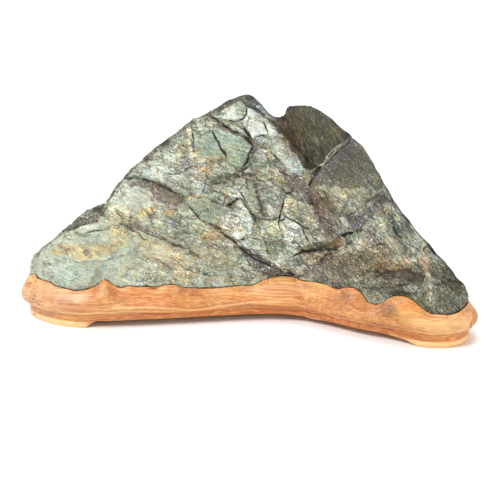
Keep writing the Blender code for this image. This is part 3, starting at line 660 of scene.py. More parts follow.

# Seams of another colour, and painted shade along the skyline: half width in pixels, kind, strength, line
frontSeams = {
    "secondPeakSeam": (0.9, "quartz", 0.6, [
        (348, 137), (345, 141), (338, 145), (331, 151), (326, 158), (321, 164), (314, 168), (308, 170)]),
    "quartzSeam": (1.0, "quartz", 0.8, [
        (386, 184), (378, 193), (370, 200), (363, 206), (357, 210), (350, 214)]),
    "shortSeam": (0.8, "quartz", 0.7, [(345, 199), (352, 205)]),
    "pinkSeam": (1.3, "pink", 0.85, [
        (398, 264), (405, 262), (412, 261), (420, 260), (424, 266), (426, 272), (431, 279)]),
    "pinkTail": (3.4, "quartz", 0.42, [(427, 281), (431, 291), (429, 305)]),
    "toeSeam": (1.2, "pale", 0.7, [(68, 254), (80, 260), (100, 259), (112, 255), (125, 253), (140, 247)]),
    "flankSeam": (0.9, "quartz", 0.8, [(388, 201), (394, 210)]),
    "overhangSeam": (0.9, "pale", 1.0, [(262, 258), (272, 260), (281, 266), (291, 271), (301, 277)]),
    "blockSeam": (1.3, "pale", 1.0, [(190, 127), (198, 128), (213, 128.5)]),
    # painted shade along the skyline, where the stone turns away from the camera
    "summitEdgeShade": (8.0, "slab", 0.85, [(203, 116), (222, 104), (240, 95), (248, 93), (258, 102)]),
    "upperEdgeShade": (6.0, "slab", 0.6, [(140, 163), (155, 148), (172, 136), (190, 122), (203, 116)]),
    "shoulderEdgeShade": (3.5, "slab", 0.7, [(105, 204), (112, 192), (123, 177), (140, 163)]),
    "toeEdgeShade": (2.5, "slab", 0.6, [(31, 263), (41, 249), (60, 234), (75, 219)]),
    "flankEdgeShade": (3.5, "slate", 1.0, [
        (350, 136), (367, 154), (378, 172), (400, 208), (430, 246), (450, 270), (466, 289)]),
    "branchSeam": (0.8, "pale", 1.0, [(70, 229), (80, 227), (100, 224)]),
    "blockTwoSeam": (1.0, "pale", 0.9, [(236, 134), (243, 144), (250, 148)]),
    "whiteArc": (1.0, "quartz", 0.8, [(360, 248), (366, 254), (372, 257), (378, 254)]),
    "apronStreak": (0.9, "quartz", 0.8, [(300, 263), (308, 270), (313, 276)]),
    "ridgeLilac": (2.0, "slate", 0.8, [(245, 104), (252, 107), (260, 112), (268, 118), (275, 123)]),
    "summitGreen": (2.2, "blue", 0.7, [(243, 97), (252, 101), (260, 107), (268, 114)]),
    # painted shade in the crevices by the summit band and the wedge gap
    "deepLineOne": (1.6, "deepShade", 0.5, [(222, 124), (230, 129), (238, 133)]),
    "deepLineTwo": (2.0, "deepShade", 0.5, [(244, 131), (248, 136), (253, 139)]),
    "veinRust": (1.2, "rust", 0.75, [(226, 186), (225, 194), (222, 204)]),
    "greenTop": (0.9, "pale", 0.6, [(213, 128), (222, 133), (232, 134), (240, 139)]),
    # painted shade along the right and upper skyline, in the deep shade's colour
    "flankEdgeShadeDeep": (2.6, "deepShade", 0.75, [(396, 202), (418, 232), (430, 246), (450, 270), (467, 290)]),
    "peakEdgeShade": (3.2, "deepShade", 0.7, [(218, 107), (230, 99), (240, 94), (248, 92), (258, 100), (266, 110)]),
    "goldFlecks": (1.6, "ochre", 0.9, [(291, 141), (300, 146)]),
    "bandLine": (3.2, "umber", 0.62, [
        (126, 219), (134, 224), (146, 231), (158, 236), (172, 243), (180, 246), (190, 252), (202, 258)]),
    "doubleBand": (1.5, "umber", 0.5, [(117, 218), (124, 224), (134, 232), (140, 238), (148, 240)]),
    "purpleBand": (5.0, "umber", 0.65, [(300, 190), (314, 206), (326, 223), (332, 238)]),
    "lensGreen": (3.4, "moss", 1.0, [(386, 209), (393, 220), (400, 232), (406, 242)]),
    "lensPale": (1.5, "pale", 0.8, [(371, 212), (378, 222), (387, 236), (394, 247)]),
    "lensWhite": (1.1, "quartz", 0.8, [(391, 212), (396, 220), (402, 230)]),
    "veinWide": (3.4, "pink", 0.5, [
        (410, 238), (420, 248), (425, 260), (428, 272), (431, 284), (430, 298)]),
}
# Where the stone is lighter (+) or darker (-), warmer (+) or cooler (-) than around it, partly its own tone
# and partly painted light and shade: middle in pixels, half width, half height, light, warmth
stoneTones = [
    (300, 192, 42, 16, -0.3, 0.1), (284, 190, 8, 10, -0.2, 0), (281, 212, 5, 8, -0.4, 0),
    (322, 204, 22, 16, -0.2, 0.3), (322, 238, 22, 20, -0.35, 0.1), (372, 196, 26, 12, -0.3, 0.1),
    (346, 164, 26, 20, -0.35, 0.1), (350, 132, 8, 8, -0.6, 0), (330, 272, 34, 18, -0.25, 0.2),
    (372, 260, 34, 22, -0.2, 0.35), (400, 288, 14, 14, -0.5, 0.1), (398, 220, 18, 16, -0.25, 0),
    (370, 292, 40, 10, -0.3, 0.1), (452, 268, 12, 20, -0.5, 0.1), (462, 288, 8, 10, -0.4, 0.1),
    (245, 94, 14, 7, -0.7, 0), (224, 101, 12, 6, -0.4, 0), (240, 111, 7, 7, -0.35, 0),
    (256, 108, 14, 10, -0.25, -0.15), (276, 112, 9, 10, -0.6, 0), (158, 142, 14, 10, -0.5, 0),
    (128, 250, 30, 14, -0.2, -0.1), (180, 235, 10, 8, -0.4, 0), (212, 239, 12, 6, -0.4, 0.2),
    (256, 220, 8, 16, -0.3, 0), (230, 206, 16, 10, -0.25, 0), (168, 180, 8, 7, -0.4, 0),
    (80, 208, 26, 8, -0.3, 0), (220, 186, 12, 6, -0.35, 0.1), (252, 178, 12, 8, -0.35, 0.1),
    (218, 154, 22, 14, -0.15, 0), (328, 256, 10, 6, -0.3, 0.2), (404, 228, 18, 8, -0.3, 0),
    (384, 198, 8, 6, -0.4, 0), (262, 260, 10, 6, -0.3, 0), (174, 154, 9, 14, 0.35, 0),
    (108, 210, 6, 10, 0.5, 0), (148, 211, 6, 7, 0.4, 0), (76, 226, 10, 6, 0.3, 0),
    (158, 254, 24, 10, 0.25, 0.1), (188, 278, 10, 8, 0.2, 0.2), (250, 261, 10, 7, 0.3, 0),
    (280, 271, 20, 5, 0.2, 0), (276, 229, 14, 6, 0.45, 0.2), (288, 240, 6, 8, 0.3, 0.1),
    (302, 168, 12, 8, 0.4, 0), (400, 206, 6, 12, 0.3, 0), (416, 232, 8, 10, 0.3, 0),
    (404, 272, 10, 7, 0.35, 0.2), (430, 298, 7, 10, 0.45, 0), (463, 298, 7, 13, 0.45, -0.05),
    (236, 232, 6, 6, 0.35, 0), (192, 140, 8, 10, 0.2, 0), (346, 190, 14, 10, 0, 0.3),
    (116, 230, 10, 8, 0, 0.35), (146, 242, 8, 8, 0, 0.35), (220, 232, 20, 8, 0, 0.25),
    (236, 176, 8, 6, 0, 0.3), (178, 266, 10, 14, 0, 0.25), (230, 282, 10, 8, 0, 0.25),
    (270, 236, 12, 8, 0, 0.25), (330, 246, 16, 8, 0, 0.3), (386, 266, 18, 10, 0, 0.35),
    (402, 262, 12, 10, 0, 0.25), (180, 150, 5, 8, 0, 0.35), (196, 150, 4, 6, 0, 0.3),
    (183, 152, 8, 8, 0.15, 0), (140, 180, 14, 16, 0, -0.12), (222, 136, 26, 12, 0, -0.15),
    (254, 104, 16, 8, 0, -0.15), (320, 114, 24, 12, 0, -0.2), (291, 134, 15, 26, -0.08, 0.55),
    (170, 222, 10, 8, 0, -0.2), (202, 191, 6, 5, 0, -0.3), (268, 266, 34, 10, 0.18, 0),
    (147, 208, 6, 6, 0.15, 0), (400, 277, 8, 6, 0.2, 0), (320, 245, 14, 4, -0.35, 0.1),
    (337, 242, 5, 5, -0.25, 0.6), (276, 269, 24, 10, 0.25, 0.05), (280, 144, 15, 24, -0.08, -0.05),
    (230, 112, 12, 8, -0.08, 0), (160, 178, 22, 7, -0.1, 0), (212, 268, 40, 16, 0.06, 0),
    (60, 272, 36, 20, 0.05, -0.05), (420, 250, 15, 12, 0.3, 0), (388, 240, 8, 10, 0.3, 0),
    (350, 222, 14, 10, -0.15, 0), (316, 206, 10, 18, 0.07, 0), (172, 150, 12, 14, -0.08, 0),
    (212, 238, 14, 10, -0.06, 0), (262, 242, 20, 16, -0.1, 0), (290, 234, 12, 12, -0.1, 0),
    (256, 124, 12, 14, -0.22, 0), (348, 164, 22, 18, -0.07, -0.05), (405, 212, 8, 10, 0.15, 0),
    (280, 117, 8, 7, -0.45, 0.15), (348, 135, 7, 7, -0.4, 0), (452, 272, 14, 24, -0.15, 0),
    (165, 142, 12, 8, -0.3, 0), (400, 292, 10, 8, -0.2, 0), (345, 199, 8, 5, -0.3, 0),
    (397, 254, 10, 8, 0, -0.2), (275, 178, 9, 13, -0.2, 0), (300, 215, 17, 9, -0.34, 0),
    (268, 210, 9, 6, -0.2, 0), (140, 202, 15, 10, -0.26, 0.1), (208, 217, 10, 7, -0.15, 0),
    (200, 207, 14, 9, -0.1, 0), (198, 243, 9, 7, -0.2, 0), (308, 253, 13, 10, 0.38, 0.2),
    (290, 271, 9, 6, 0.34, 0), (323, 257, 12, 9, 0.2, 0.1), (352, 230, 12, 12, -0.3, 0),
    (374, 215, 17, 12, -0.28, 0), (430, 279, 8, 6, -0.38, 0), (250, 174, 11, 5, 0.25, 0.1),
    (187, 132, 7, 10, 0.25, 0.1), (184, 182, 11, 7, -0.2, 0), (342, 148, 17, 13, -0.26, 0),
    (364, 160, 14, 22, -0.06, 0), (455, 282, 11, 17, 0.2, 0), (416, 266, 17, 9, 0.12, 0.1),
    (392, 250, 10, 7, 0.2, 0), (398, 286, 13, 7, 0.2, 0.15), (222, 214, 28, 24, 0, 0.1),
    (118, 222, 20, 20, 0, 0.14), (388, 260, 15, 6, 0, -0.25), (247, 133, 5, 8, 0.1, 0),
    (90, 247, 44, 8, -0.07, 0), (424, 262, 8, 12, 0.1, 0), (172, 268, 8, 6, -0.15, -0.1),
]
# Where the outline stands out or in beside the solid's: middle and reach in pixels, and height in mm
outlineBulges = [
    (80, 214, 15, 1.6), (114, 192, 14, 0.9), (152, 150, 15, 1.1), (190, 123, 9, 1.2), (226, 101, 8, 1.0),
    (287, 106, 8, 1.6), (350, 134, 9, 2.2), (380, 177, 8, 1.3), (392, 195, 9, -1.2), (402, 208, 15, -1.1),
    (418, 232, 15, -1.2), (448, 266, 16, 1.8), (463, 291, 14, 2.6),
]
# Where the stone's foot draws back from the rim, in the same way
frontDents = [(318, 282, 16, -2.6)]
patchKinds = ("olive", "deepShade", "slab", "slate", "umber", "lilac", "rust", "ochre", "cream", "moss", "green",
              "blue", "pale", "pink", "quartz", "calm", "gritty", "dip")


def nearBox(pixels, line, margin):
    # the places that lie in the box round a line, widened by a margin
    low = np.min(line, axis=0) - margin
    high = np.max(line, axis=0) + margin
    return np.flatnonzero(np.all((pixels > low) & (pixels < high), axis=1))


def linePlace(pixels, line):
    # distance from a line of straight runs, the side (positive on the left of its direction), and how
    # much of the line the place is away from both of its ends: 0 at an end, 1 from a fifth of it onwards
    nearest = np.full(len(pixels), 1e9)
    side = np.zeros(len(pixels))
    along = np.zeros(len(pixels))
    line = np.array(line, float)
    passed = np.concatenate([[0], np.cumsum(np.linalg.norm(np.diff(line, axis=0), axis=1))])
    for a, b, start, end in zip(line, line[1:], passed, passed[1:]):
        run = b - a
        rel = pixels - a
        share = np.clip(rel @ run / (run @ run), 0, 1)
        off = rel - share[:, None] * run
        distance = np.hypot(off[:, 0], off[:, 1])
        closer = distance < nearest
        nearest[closer] = distance[closer]
        side[closer] = -np.sign(run[0] * rel[closer, 1] - run[1] * rel[closer, 0])
        along[closer] = (start + share[closer] * (end - start)) / passed[-1]
    return nearest, side, smoothStep(0, 0.2, np.minimum(along, 1 - along))


def insideOutline(pixels, outline):
    # signed distance from a closed outline, positive inside
    ring = np.array(outline + outline[:1], float)
    nearest = linePlace(pixels, ring)[0]
    x, y = pixels.T
    inside = np.zeros(len(pixels), bool)
    for (ax, ay), (bx, by) in zip(ring, ring[1:]):
        if ay != by:
            inside ^= ((ay > y) != (by > y)) & (x < (bx - ax) * (y - ay) / (by - ay) + ax)
    return np.where(inside, nearest, -nearest)


def painted(count, names, drawn, pixels, ragged, patches, lines):
    # how much each point takes of each kind of patch and line; drawn are the points that have pixels
    kinds = {name: np.zeros(count) for name in names}
    for kind, strength, soft, outline in patches.values():
        near = nearBox(pixels, outline, soft + 3)
        place = insideOutline(pixels[near], outline) + ragged[near] * soft
        at = drawn[near]
        kinds[kind][at] = np.maximum(kinds[kind][at], strength * smoothStep(-soft, soft, place))
    for half, kind, strength, line in lines.values():
        near = nearBox(pixels, line, half + 2)
        distance, _, inward = linePlace(pixels[near], line)
        share = np.clip(1 - distance / (half * (0.4 + 0.6 * inward)), 0, 1)
        at = drawn[near]
        kinds[kind][at] = np.maximum(kinds[kind][at], strength * smoothStep(0, 0.7, share))
    return kinds


def toned(count, drawn, pixels, tones):
    # light and warmth summed over soft ovals, full in the middle third and gone a quarter beyond the
    # oval, and nothing where a point has no pixel; the light is partly painted light and shade
    fields = {"light": np.zeros(count), "warmth": np.zeros(count)}
    for x, y, halfWidth, halfHeight, more, warmer in tones:
        away = np.hypot((pixels[:, 0] - x) / halfWidth, (pixels[:, 1] - y) / halfHeight)
        share = smoothStep(1.25, 0.35, away)
        fields["light"][drawn] += more * share
        fields["warmth"][drawn] += warmer * share
    return fields


# The stone

stone = {
    "grain": 1.3 * mm,  # the skin's mesh before the front is made finer
    "evenRounds": 3,  # takes the facets of the solid off
    "fineAbove": 24,  # below this, in mm, the stand hides the front and it isn't made finer
    "seenRounds": 4,  # softens the border between what the photograph shows and what it doesn't
    "bulgeRounds": 12,
    "wobble": 1.2,  # how far the drawn lines wander, in pixels, and over how many mm
    "wobbleSize": 9,
    "jag": 0.5,  # how far they jump from crystal to crystal
    "jagSize": 2.6,
    "raggedSize": 7,
    "bed": (29.0, 38.0),  # worn and bedded in the wood below the first, in mm, and free above the second
    "contactShadow": (1.2, 0.2),  # painted contact shadow, a dark line on the stone along the wood: above the rim, in mm, it ends and is full here
    "shown": (0.35, 0.75),  # shares of seen points about a point where the front's relief fades in
    "facing": (0.02, 0.3),  # and how far the point has to face the camera for it
    "hidden": (0.3, 0.7),  # the same shares for the joints and patches of the hidden sides, turned round
    "silhouette": (-0.05, 0.35),  # the grain fades on what the camera sees edge on, for a clean skyline
    "toneRagged": 2,  # how ragged the soft ovals are, in pixels
    "chipSize": 15.0 * mm,
    "chipTilt": 0.08,
    "smallChipSize": 5.0 * mm,
    "smallChipTilt": 0.11,
    "lumpHeight": 0.4 * mm,
    "grainHeight": 0.15 * mm,
    "seamWidth": 0.05,  # of a chip's size
    "crackWidth": 0.95,  # of the drawn half widths
    "crackRagged": 0.7,  # how much a crack's width varies along it
    "crackEnds": 0.35,  # how wide it still is at its ends
    "leastCrack": 0.4,  # pixels
    "crackGaps": (-0.75, 0.1),  # the raggedness at which its darkness is broken, and whole
    "mostTriangles": 196000,
    "seed": 11,
}
# Joints through the parts that the photograph doesn't show: where they are and how large, in mm
hiddenJoints = {
    "number": 16,
    "x": (-150, 150),
    "y": 25.0,
    "z": (35, 130),
    "reach": (25, 60),
    "halfWidth": (1.2, 2.2),
    "depth": (0.8, 1.8),
    "warpSize": 16,
    "warp": 5,
    "darkness": 0.7,
}
# Patches of colour on those parts: size in mm, the noise level where they start, and strength
hiddenPatches = {
    "olive": (42, 0.05, 0.62),
    "slab": (30, 0.0, 0.66),
    "umber": (18, 0.15, 0.6),
    "rust": (13, 0.25, 0.55),
    "ochre": (12, 0.25, 0.55),
    "green": (22, 0.05, 0.6),
    "pale": (15, 0.15, 0.55),
    "gritty": (30, -0.1, 0.8),
}


def stoneBase():
    # the solid's own shape as an even, fine skin, with the faces that the camera sees made finer
    solid = mergedCopy("stone", "stoneSolid")
    skin = solid.modifiers.new("skin", "REMESH")
    skin.mode = "VOXEL"
    skin.voxel_size = stone["grain"]
    even = plainMesh(solid, "stoneSkin")
    points = readPoints(even.data)
    edges = meshEdges(even.data)
    for axis in range(3):
        points[:, axis] = spread(points[:, axis], edges, stone["evenRounds"])
    writePoints(even.data, points)
    seen = seenByCamera(even.data) * (points[:, 2] / mm > stone["fineAbove"])
    shape = bmesh.new()
    shape.from_mesh(even.data)
    shape.verts.ensure_lookup_table()
    chosen = [f for f in shape.faces if all(seen[v.index] for v in f.verts)]
    lines = list({e for f in chosen for e in f.edges})
    bmesh.ops.subdivide_edges(shape, edges=lines, cuts=1, use_grid_fill=True)
    bmesh.ops.triangulate(shape, faces=[f for f in shape.faces if len(f.verts) > 4])
    mesh = bpy.data.meshes.new("stoneBase")
    shape.to_mesh(mesh)
    shape.free()
    discard(solid, even)
    return newObject("stoneBase", mesh)


def seenByCamera(mesh):
    # 1 for each point that the photograph's camera sees, and 0 for the others
    place = Vector(cameraPlace() * mm)
    tree = BVHTree.FromPolygons([v.co for v in mesh.vertices], [p.vertices for p in mesh.polygons])
    seen = np.zeros(len(mesh.vertices))
    for vertex in mesh.vertices:
        toCamera = place - vertex.co
        if vertex.normal.dot(toCamera) > 0:
            start = vertex.co + vertex.normal * 0.6 * mm
            seen[vertex.index] = tree.ray_cast(start, toCamera.normalized())[0] is None
    return seen


def wandered(places):
    # the places' pixels, moved a little so that no drawn line is smooth, and a noise for ragged edges
    seed = stone["seed"]
    sway = [noiseField(places, stone["wobbleSize"], seed + k, 3) for k in (0, 1)]
    jag = [noiseField(places, stone["jagSize"], seed + k, 2) for k in (2, 3)]
    pixels = toPhoto(places) + np.column_stack(sway) * stone["wobble"] + np.column_stack(jag) * stone["jag"]
    return pixels, noiseField(places, stone["raggedSize"], seed + 5, 4)


def cutCracks(count, drawn, pixels, ragged):
    # how far the drawn cracks go in, and how dark they are
    cut = np.zeros(count)
    dark = np.zeros(count)
    for half, depth, shade, line in frontCracks.values():
        near = nearBox(pixels, line, half + 4)
        distance, _, inward = linePlace(pixels[near], line)
        ends = stone["crackEnds"] + (1 - stone["crackEnds"]) * inward
        width = half * stone["crackWidth"] * (1 + stone["crackRagged"] * ragged[near]) * ends
        share = np.clip(1 - distance / np.maximum(width, stone["leastCrack"]), 0, 1)
        at = drawn[near]
        cut[at] = np.minimum(cut[at], -depth * smoothStep(0, 0.8, share))
        broken = smoothStep(*stone["crackGaps"], ragged[near])
        dark[at] = np.maximum(dark[at], shade * smoothStep(0.1, 0.8, share) * broken)
    return cut, dark


def raiseLedges(count, drawn, pixels):
    # a ledge stands proud on its one side and drops half as far, and twice as fast, on the other
    lift = np.zeros(count)
    for height, fade, line in frontLedges.values():
        near = nearBox(pixels, line, fade * 1.5)
        distance, side, inward = linePlace(pixels[near], line)
        proud = np.exp(-distance / fade)
        sunk = -0.5 * np.exp(-distance / fade * 2)
        step = np.where(distance * side > 0, proud, sunk)
        lift[drawn[near]] += height * inward * step * np.clip(distance / 0.8, 0, 1)
    return lift


def outlineMoves(points, facing):
    # the skyline's bulges act on what the camera sees edge on, and the dents on all that faces it
    moves = np.zeros(len(points))
    pixels = toPhoto(points)
    edgeOn = smoothStep(0.75, 0.3, np.abs(facing))
    for places, where in ((outlineBulges, edgeOn), (frontDents, facing > 0)):
        for x, y, reach, height in places:
            away = np.hypot(pixels[:, 0] - x, pixels[:, 1] - y) / reach
            moves += height * smoothStep(1.1, 0.3, away) * where
    return moves


def cutHiddenJoints(points, hidden, aboveBed, move, dark):
    # changes move and dark where the photograph doesn't show the stone
    draw = random.Random(stone["seed"])
    warp = noiseField(points, hiddenJoints["warpSize"], stone["seed"] + 9, 4)
    for _ in range(hiddenJoints["number"]):
        slope = Vector((draw.uniform(-1, 1), draw.uniform(-0.3, 0.3), draw.uniform(-1, 1))).normalized()
        x = draw.uniform(*hiddenJoints["x"])
        z = draw.uniform(*hiddenJoints["z"])
        reach = draw.uniform(*hiddenJoints["reach"])
        halfWidth = draw.uniform(*hiddenJoints["halfWidth"])
        rel = points - np.array([x, hiddenJoints["y"], z])
        off = np.abs(rel @ np.array(slope) + hiddenJoints["warp"] * warp)
        within = smoothStep(1.0, 0.7, np.linalg.norm(rel, axis=1) / reach)
        share = np.clip(1 - off / halfWidth, 0, 1) * within * hidden * aboveBed
        move -= draw.uniform(*hiddenJoints["depth"]) * smoothStep(0, 0.8, share)
        np.maximum(dark, hiddenJoints["darkness"] * smoothStep(0.2, 0.9, share), out=dark)


def carveStone(obj):
    # how far each point moves out or in, and how much of each colour it takes
    mesh = obj.data
    points = readPoints(mesh) / mm
    edges = meshEdges(mesh)
    toCamera = cameraPlace() - points
    facing = (readPoints(mesh, "normal") * toCamera).sum(axis=1) / np.linalg.norm(toCamera, axis=1)
    seen = spread(seenByCamera(mesh), edges, stone["seenRounds"])
    shown = smoothStep(*stone["shown"], seen) * smoothStep(*stone["facing"], facing)
    hidden = 1 - smoothStep(*stone["hidden"], seen)
    rise = rimRise(points)
    aboveBed = smoothStep(*stone["bed"], points[:, 2] - rise)
    drawn = np.flatnonzero(seen > 0.2)
    pixels, ragged = wandered(points[drawn])

    cut, dark = cutCracks(len(points), drawn, pixels, ragged)
    lift = raiseLedges(len(points), drawn, pixels)
    moves = spread(outlineMoves(points, facing), edges, stone["bulgeRounds"])
    move = (cut + lift) * shown * aboveBed + moves
    cutHiddenJoints(points, hidden, aboveBed, move, dark)
    # painted contact shadow: the stone darkened in a band just above the wood's rim
    contactShadow = smoothStep(*stone["contactShadow"], points[:, 2] - stand["rimZ"] - rise)

    kinds = painted(len(points), patchKinds, drawn, pixels, ragged, frontPatches, frontSeams)
    for number, (kind, (size, level, strength)) in enumerate(hiddenPatches.items()):
        spots = smoothStep(level, level + 0.5, noiseField(points, size, 40 + number, 5)) * strength
        kinds[kind] = np.maximum(kinds[kind], spots * hidden)

    writeFields(mesh, {
        "carve": move * mm,
        # the cracks' darkness together with the painted contact shadow
        "dark": np.maximum(dark, contactShadow),
        "rough": aboveBed * (1 - kinds["calm"]),
        "silhouette": smoothStep(*stone["silhouette"], np.abs(facing)),
    })
    writeFields(mesh, kinds)
    pixels = pixels + ragged[:, None] * stone["toneRagged"]
    writeFields(mesh, toned(len(points), drawn, pixels, stoneTones))


# Scales are per metre, as the texture nodes take them
reliefLook = {
    "swayScale": 70.0,
    "sway": 9.0 * mm,
    "turn": (12.0, -38.0, 6.0),  # the chips lean with the stone's grain
    "stretch": (0.62, 0.9, 1.25),
    "lumpScale": 55.0,
    "grainScale": 420.0,
    "largeSeams": (95.0, 0.45, 0.58),  # where seams are open: a noise's scale, closed up to, open from
    "smallSeams": (150.0, 0.52, 0.62),
    "seamDepth": 0.4 * mm,
}


def reliefTree():
    # moves the skin by its carving, tilts each chip like a small cleaved face, and adds grain
    names = ("Chip Size", "Chip Tilt", "Small Chip Size", "Small Chip Tilt", "Lump Height", "Grain Height",
             "Seam Width", "Seed")
    sockets = dict.fromkeys(names, "Float")
    tree, given, ends = newTree("stoneRelief", {**sockets, "Stone Finish": "Material"})
    value = given.outputs
    place = tree.nodes.new("GeometryNodeInputPosition").outputs[0]
    normal = tree.nodes.new("GeometryNodeInputNormal").outputs[0]
    shift = wire(tree, "ShaderNodeCombineXYZ", {"X": value["Seed"], "Y": value["Seed"]}).outputs[0]
    sway = noiseNode(tree, vectorCalc(tree, "ADD", place, shift), reliefLook["swayScale"])["Color"]
    swayed = vectorCalc(tree, "ADD", place, scaled(tree, centred(tree, sway), reliefLook["sway"]))
    leaning = stretched(tree, swayed, reliefLook["turn"], reliefLook["stretch"])

    def chips(size, tilt):
        scale = calc(tree, "DIVIDE", 1.0, size)
        cells = cellsNode(tree, leaning, scale)
        offset = vectorCalc(tree, "SUBTRACT", leaning, cells["Position"])
        height = times(tree, vectorCalc(tree, "DOT_PRODUCT", offset, centred(tree, cells["Color"])), tilt)
        edge = cellsNode(tree, leaning, scale, "DISTANCE_TO_EDGE")["Distance"]
        seam = remap(tree, edge, 0.0, value["Seam Width"], 1.0, 0.0)
        facet = wire(tree, "ShaderNodeSeparateXYZ", {"Vector": cells["Color"]}).outputs["Z"]
        return times(tree, height, 2.0), seam, facet

    def opened(scale, low, high):
        return remap(tree, noiseNode(tree, place, scale, 2.0)[0], low, high)

    lumps = minus(tree, noiseNode(tree, swayed, reliefLook["lumpScale"])[0], 0.55)
    grain = minus(tree, noiseNode(tree, leaning, reliefLook["grainScale"], 3.0, 0.65)[0], 0.55)
    large, largeSeam, largeFacet = chips(value["Chip Size"], value["Chip Tilt"])
    small, smallSeam, smallFacet = chips(value["Small Chip Size"], value["Small Chip Tilt"])
    seam = calc(tree, "MAXIMUM", times(tree, largeSeam, opened(*reliefLook["largeSeams"])),
                times(tree, smallSeam, times(tree, opened(*reliefLook["smallSeams"]), 0.8)))
    height = minus(tree, plus(tree, large, small), times(tree, seam, reliefLook["seamDepth"]))
    height = plus(tree, height, times(tree, lumps, times(tree, value["Lump Height"], 2.0)))
    height = plus(tree, height, times(tree, grain, times(tree, value["Grain Height"], 2.0)))
    rough = pointField(tree, "rough")
    height = times(tree, height, times(tree, rough, pointField(tree, "silhouette")))
    kept = storeFields(tree, value["Geometry"], {
        "relief": calc(tree, "DIVIDE", height, mm),
        "facet": timesPlus(tree, largeFacet, 0.6, times(tree, smallFacet, 0.4)),
        "seam": times(tree, seam, rough),
    })
    offset = scaled(tree, normal, plus(tree, height, pointField(tree, "carve")))
    moved = wire(tree, "GeometryNodeSetPosition", {"Geometry": kept, "Offset": offset})
    closeTree(tree, moved.outputs[0], value["Stone Finish"], ends)
    return tree


# The stone's finish

# Each layer over the sage green ground: the field it follows, its two colours, the size of its
# speckle in mm, how much the speckle breaks it up, and its strength
stoneLayers = [
    ("pale", linear(194, 201, 184), linear(218, 223, 208), 2.0, 1.2, 0.85),
    ("cream", linear(200, 194, 156), linear(214, 204, 168), 2.2, 1.4, 0.85),
    ("green", linear(122, 138, 116), linear(150, 164, 138), 3.0, 1.0, 0.88),
    ("blue", linear(132, 146, 140), linear(164, 178, 170), 3.0, 1.2, 0.8),
    ("ochre", linear(200, 180, 118), linear(176, 142, 84), 2.6, 1.6, 0.88),
    ("rust", linear(122, 88, 58), linear(182, 146, 104), 2.4, 2.2, 0.8),
    ("lilac", linear(112, 106, 104), linear(146, 138, 136), 2.4, 1.3, 0.88),
    ("umber", linear(82, 68, 58), linear(118, 100, 86), 1.8, 1.4, 0.9),
    ("slab", linear(57, 57, 40), linear(90, 87, 63), 1.8, 1.1, 0.95),
    ("moss", linear(66, 74, 44), linear(98, 106, 70), 2.4, 1.3, 0.92),
    ("slate", linear(70, 67, 66), linear(98, 94, 92), 2.4, 0.9, 0.97),
    ("olive", linear(44, 40, 24), linear(73, 69, 44), 1.6, 0.6, 1.0),
    # painted deep shade, dark brown: the notch that the main peak shades, folds, crevices and the skyline
    ("deepShade", linear(30, 24, 16), linear(52, 42, 28), 2.0, 0.9, 0.97),
    ("pink", linear(180, 150, 126), linear(198, 172, 152), 1.6, 1.3, 0.85),
    ("quartz", linear(178, 182, 168), linear(214, 218, 206), 1.6, 1.3, 0.9),
]
# Washes and speckles that lie all over the stone: two colours, size in mm, the noise level where they
# start, how soft they are, and their strength
stoneSpeckles = [
    (linear(136, 152, 130), linear(156, 172, 150), 9.0, 0.5, 0.12, 0.5),
    (linear(198, 182, 138), linear(194, 166, 124), 7.0, 0.54, 0.12, 0.4),
    (linear(152, 164, 162), linear(172, 182, 178), 6.0, 0.55, 0.1, 0.4),
    (linear(124, 110, 100), linear(144, 130, 118), 4.5, 0.57, 0.1, 0.55),
    (linear(172, 132, 84), linear(152, 118, 74), 2.6, 0.58, 0.07, 0.5),
    (linear(84, 72, 60), linear(104, 94, 80), 2.0, 0.57, 0.07, 0.7),
    (linear(220, 224, 210), linear(236, 238, 228), 1.6, 0.57, 0.07, 0.75),
    (linear(58, 62, 44), linear(84, 90, 66), 1.2, 0.57, 0.06, 0.85),
    (linear(238, 240, 230), linear(224, 228, 212), 0.8, 0.57, 0.05, 0.8),
]
stoneGround = {
    "sage": linear(152, 159, 136),
    "light": linear(192, 197, 175),
    "shade": linear(120, 128, 104),
    # the hollows' colour is dirt and painted shade, the crests' colour wear and painted light
    "hollow": linear(80, 70, 54),
    "crest": linear(226, 229, 216),
    "crack": linear(34, 29, 23),
    "fleck": linear(134, 127, 94),  # on the dark second peak
    "roughness": 0.5,
    "specular": 0.35,
}
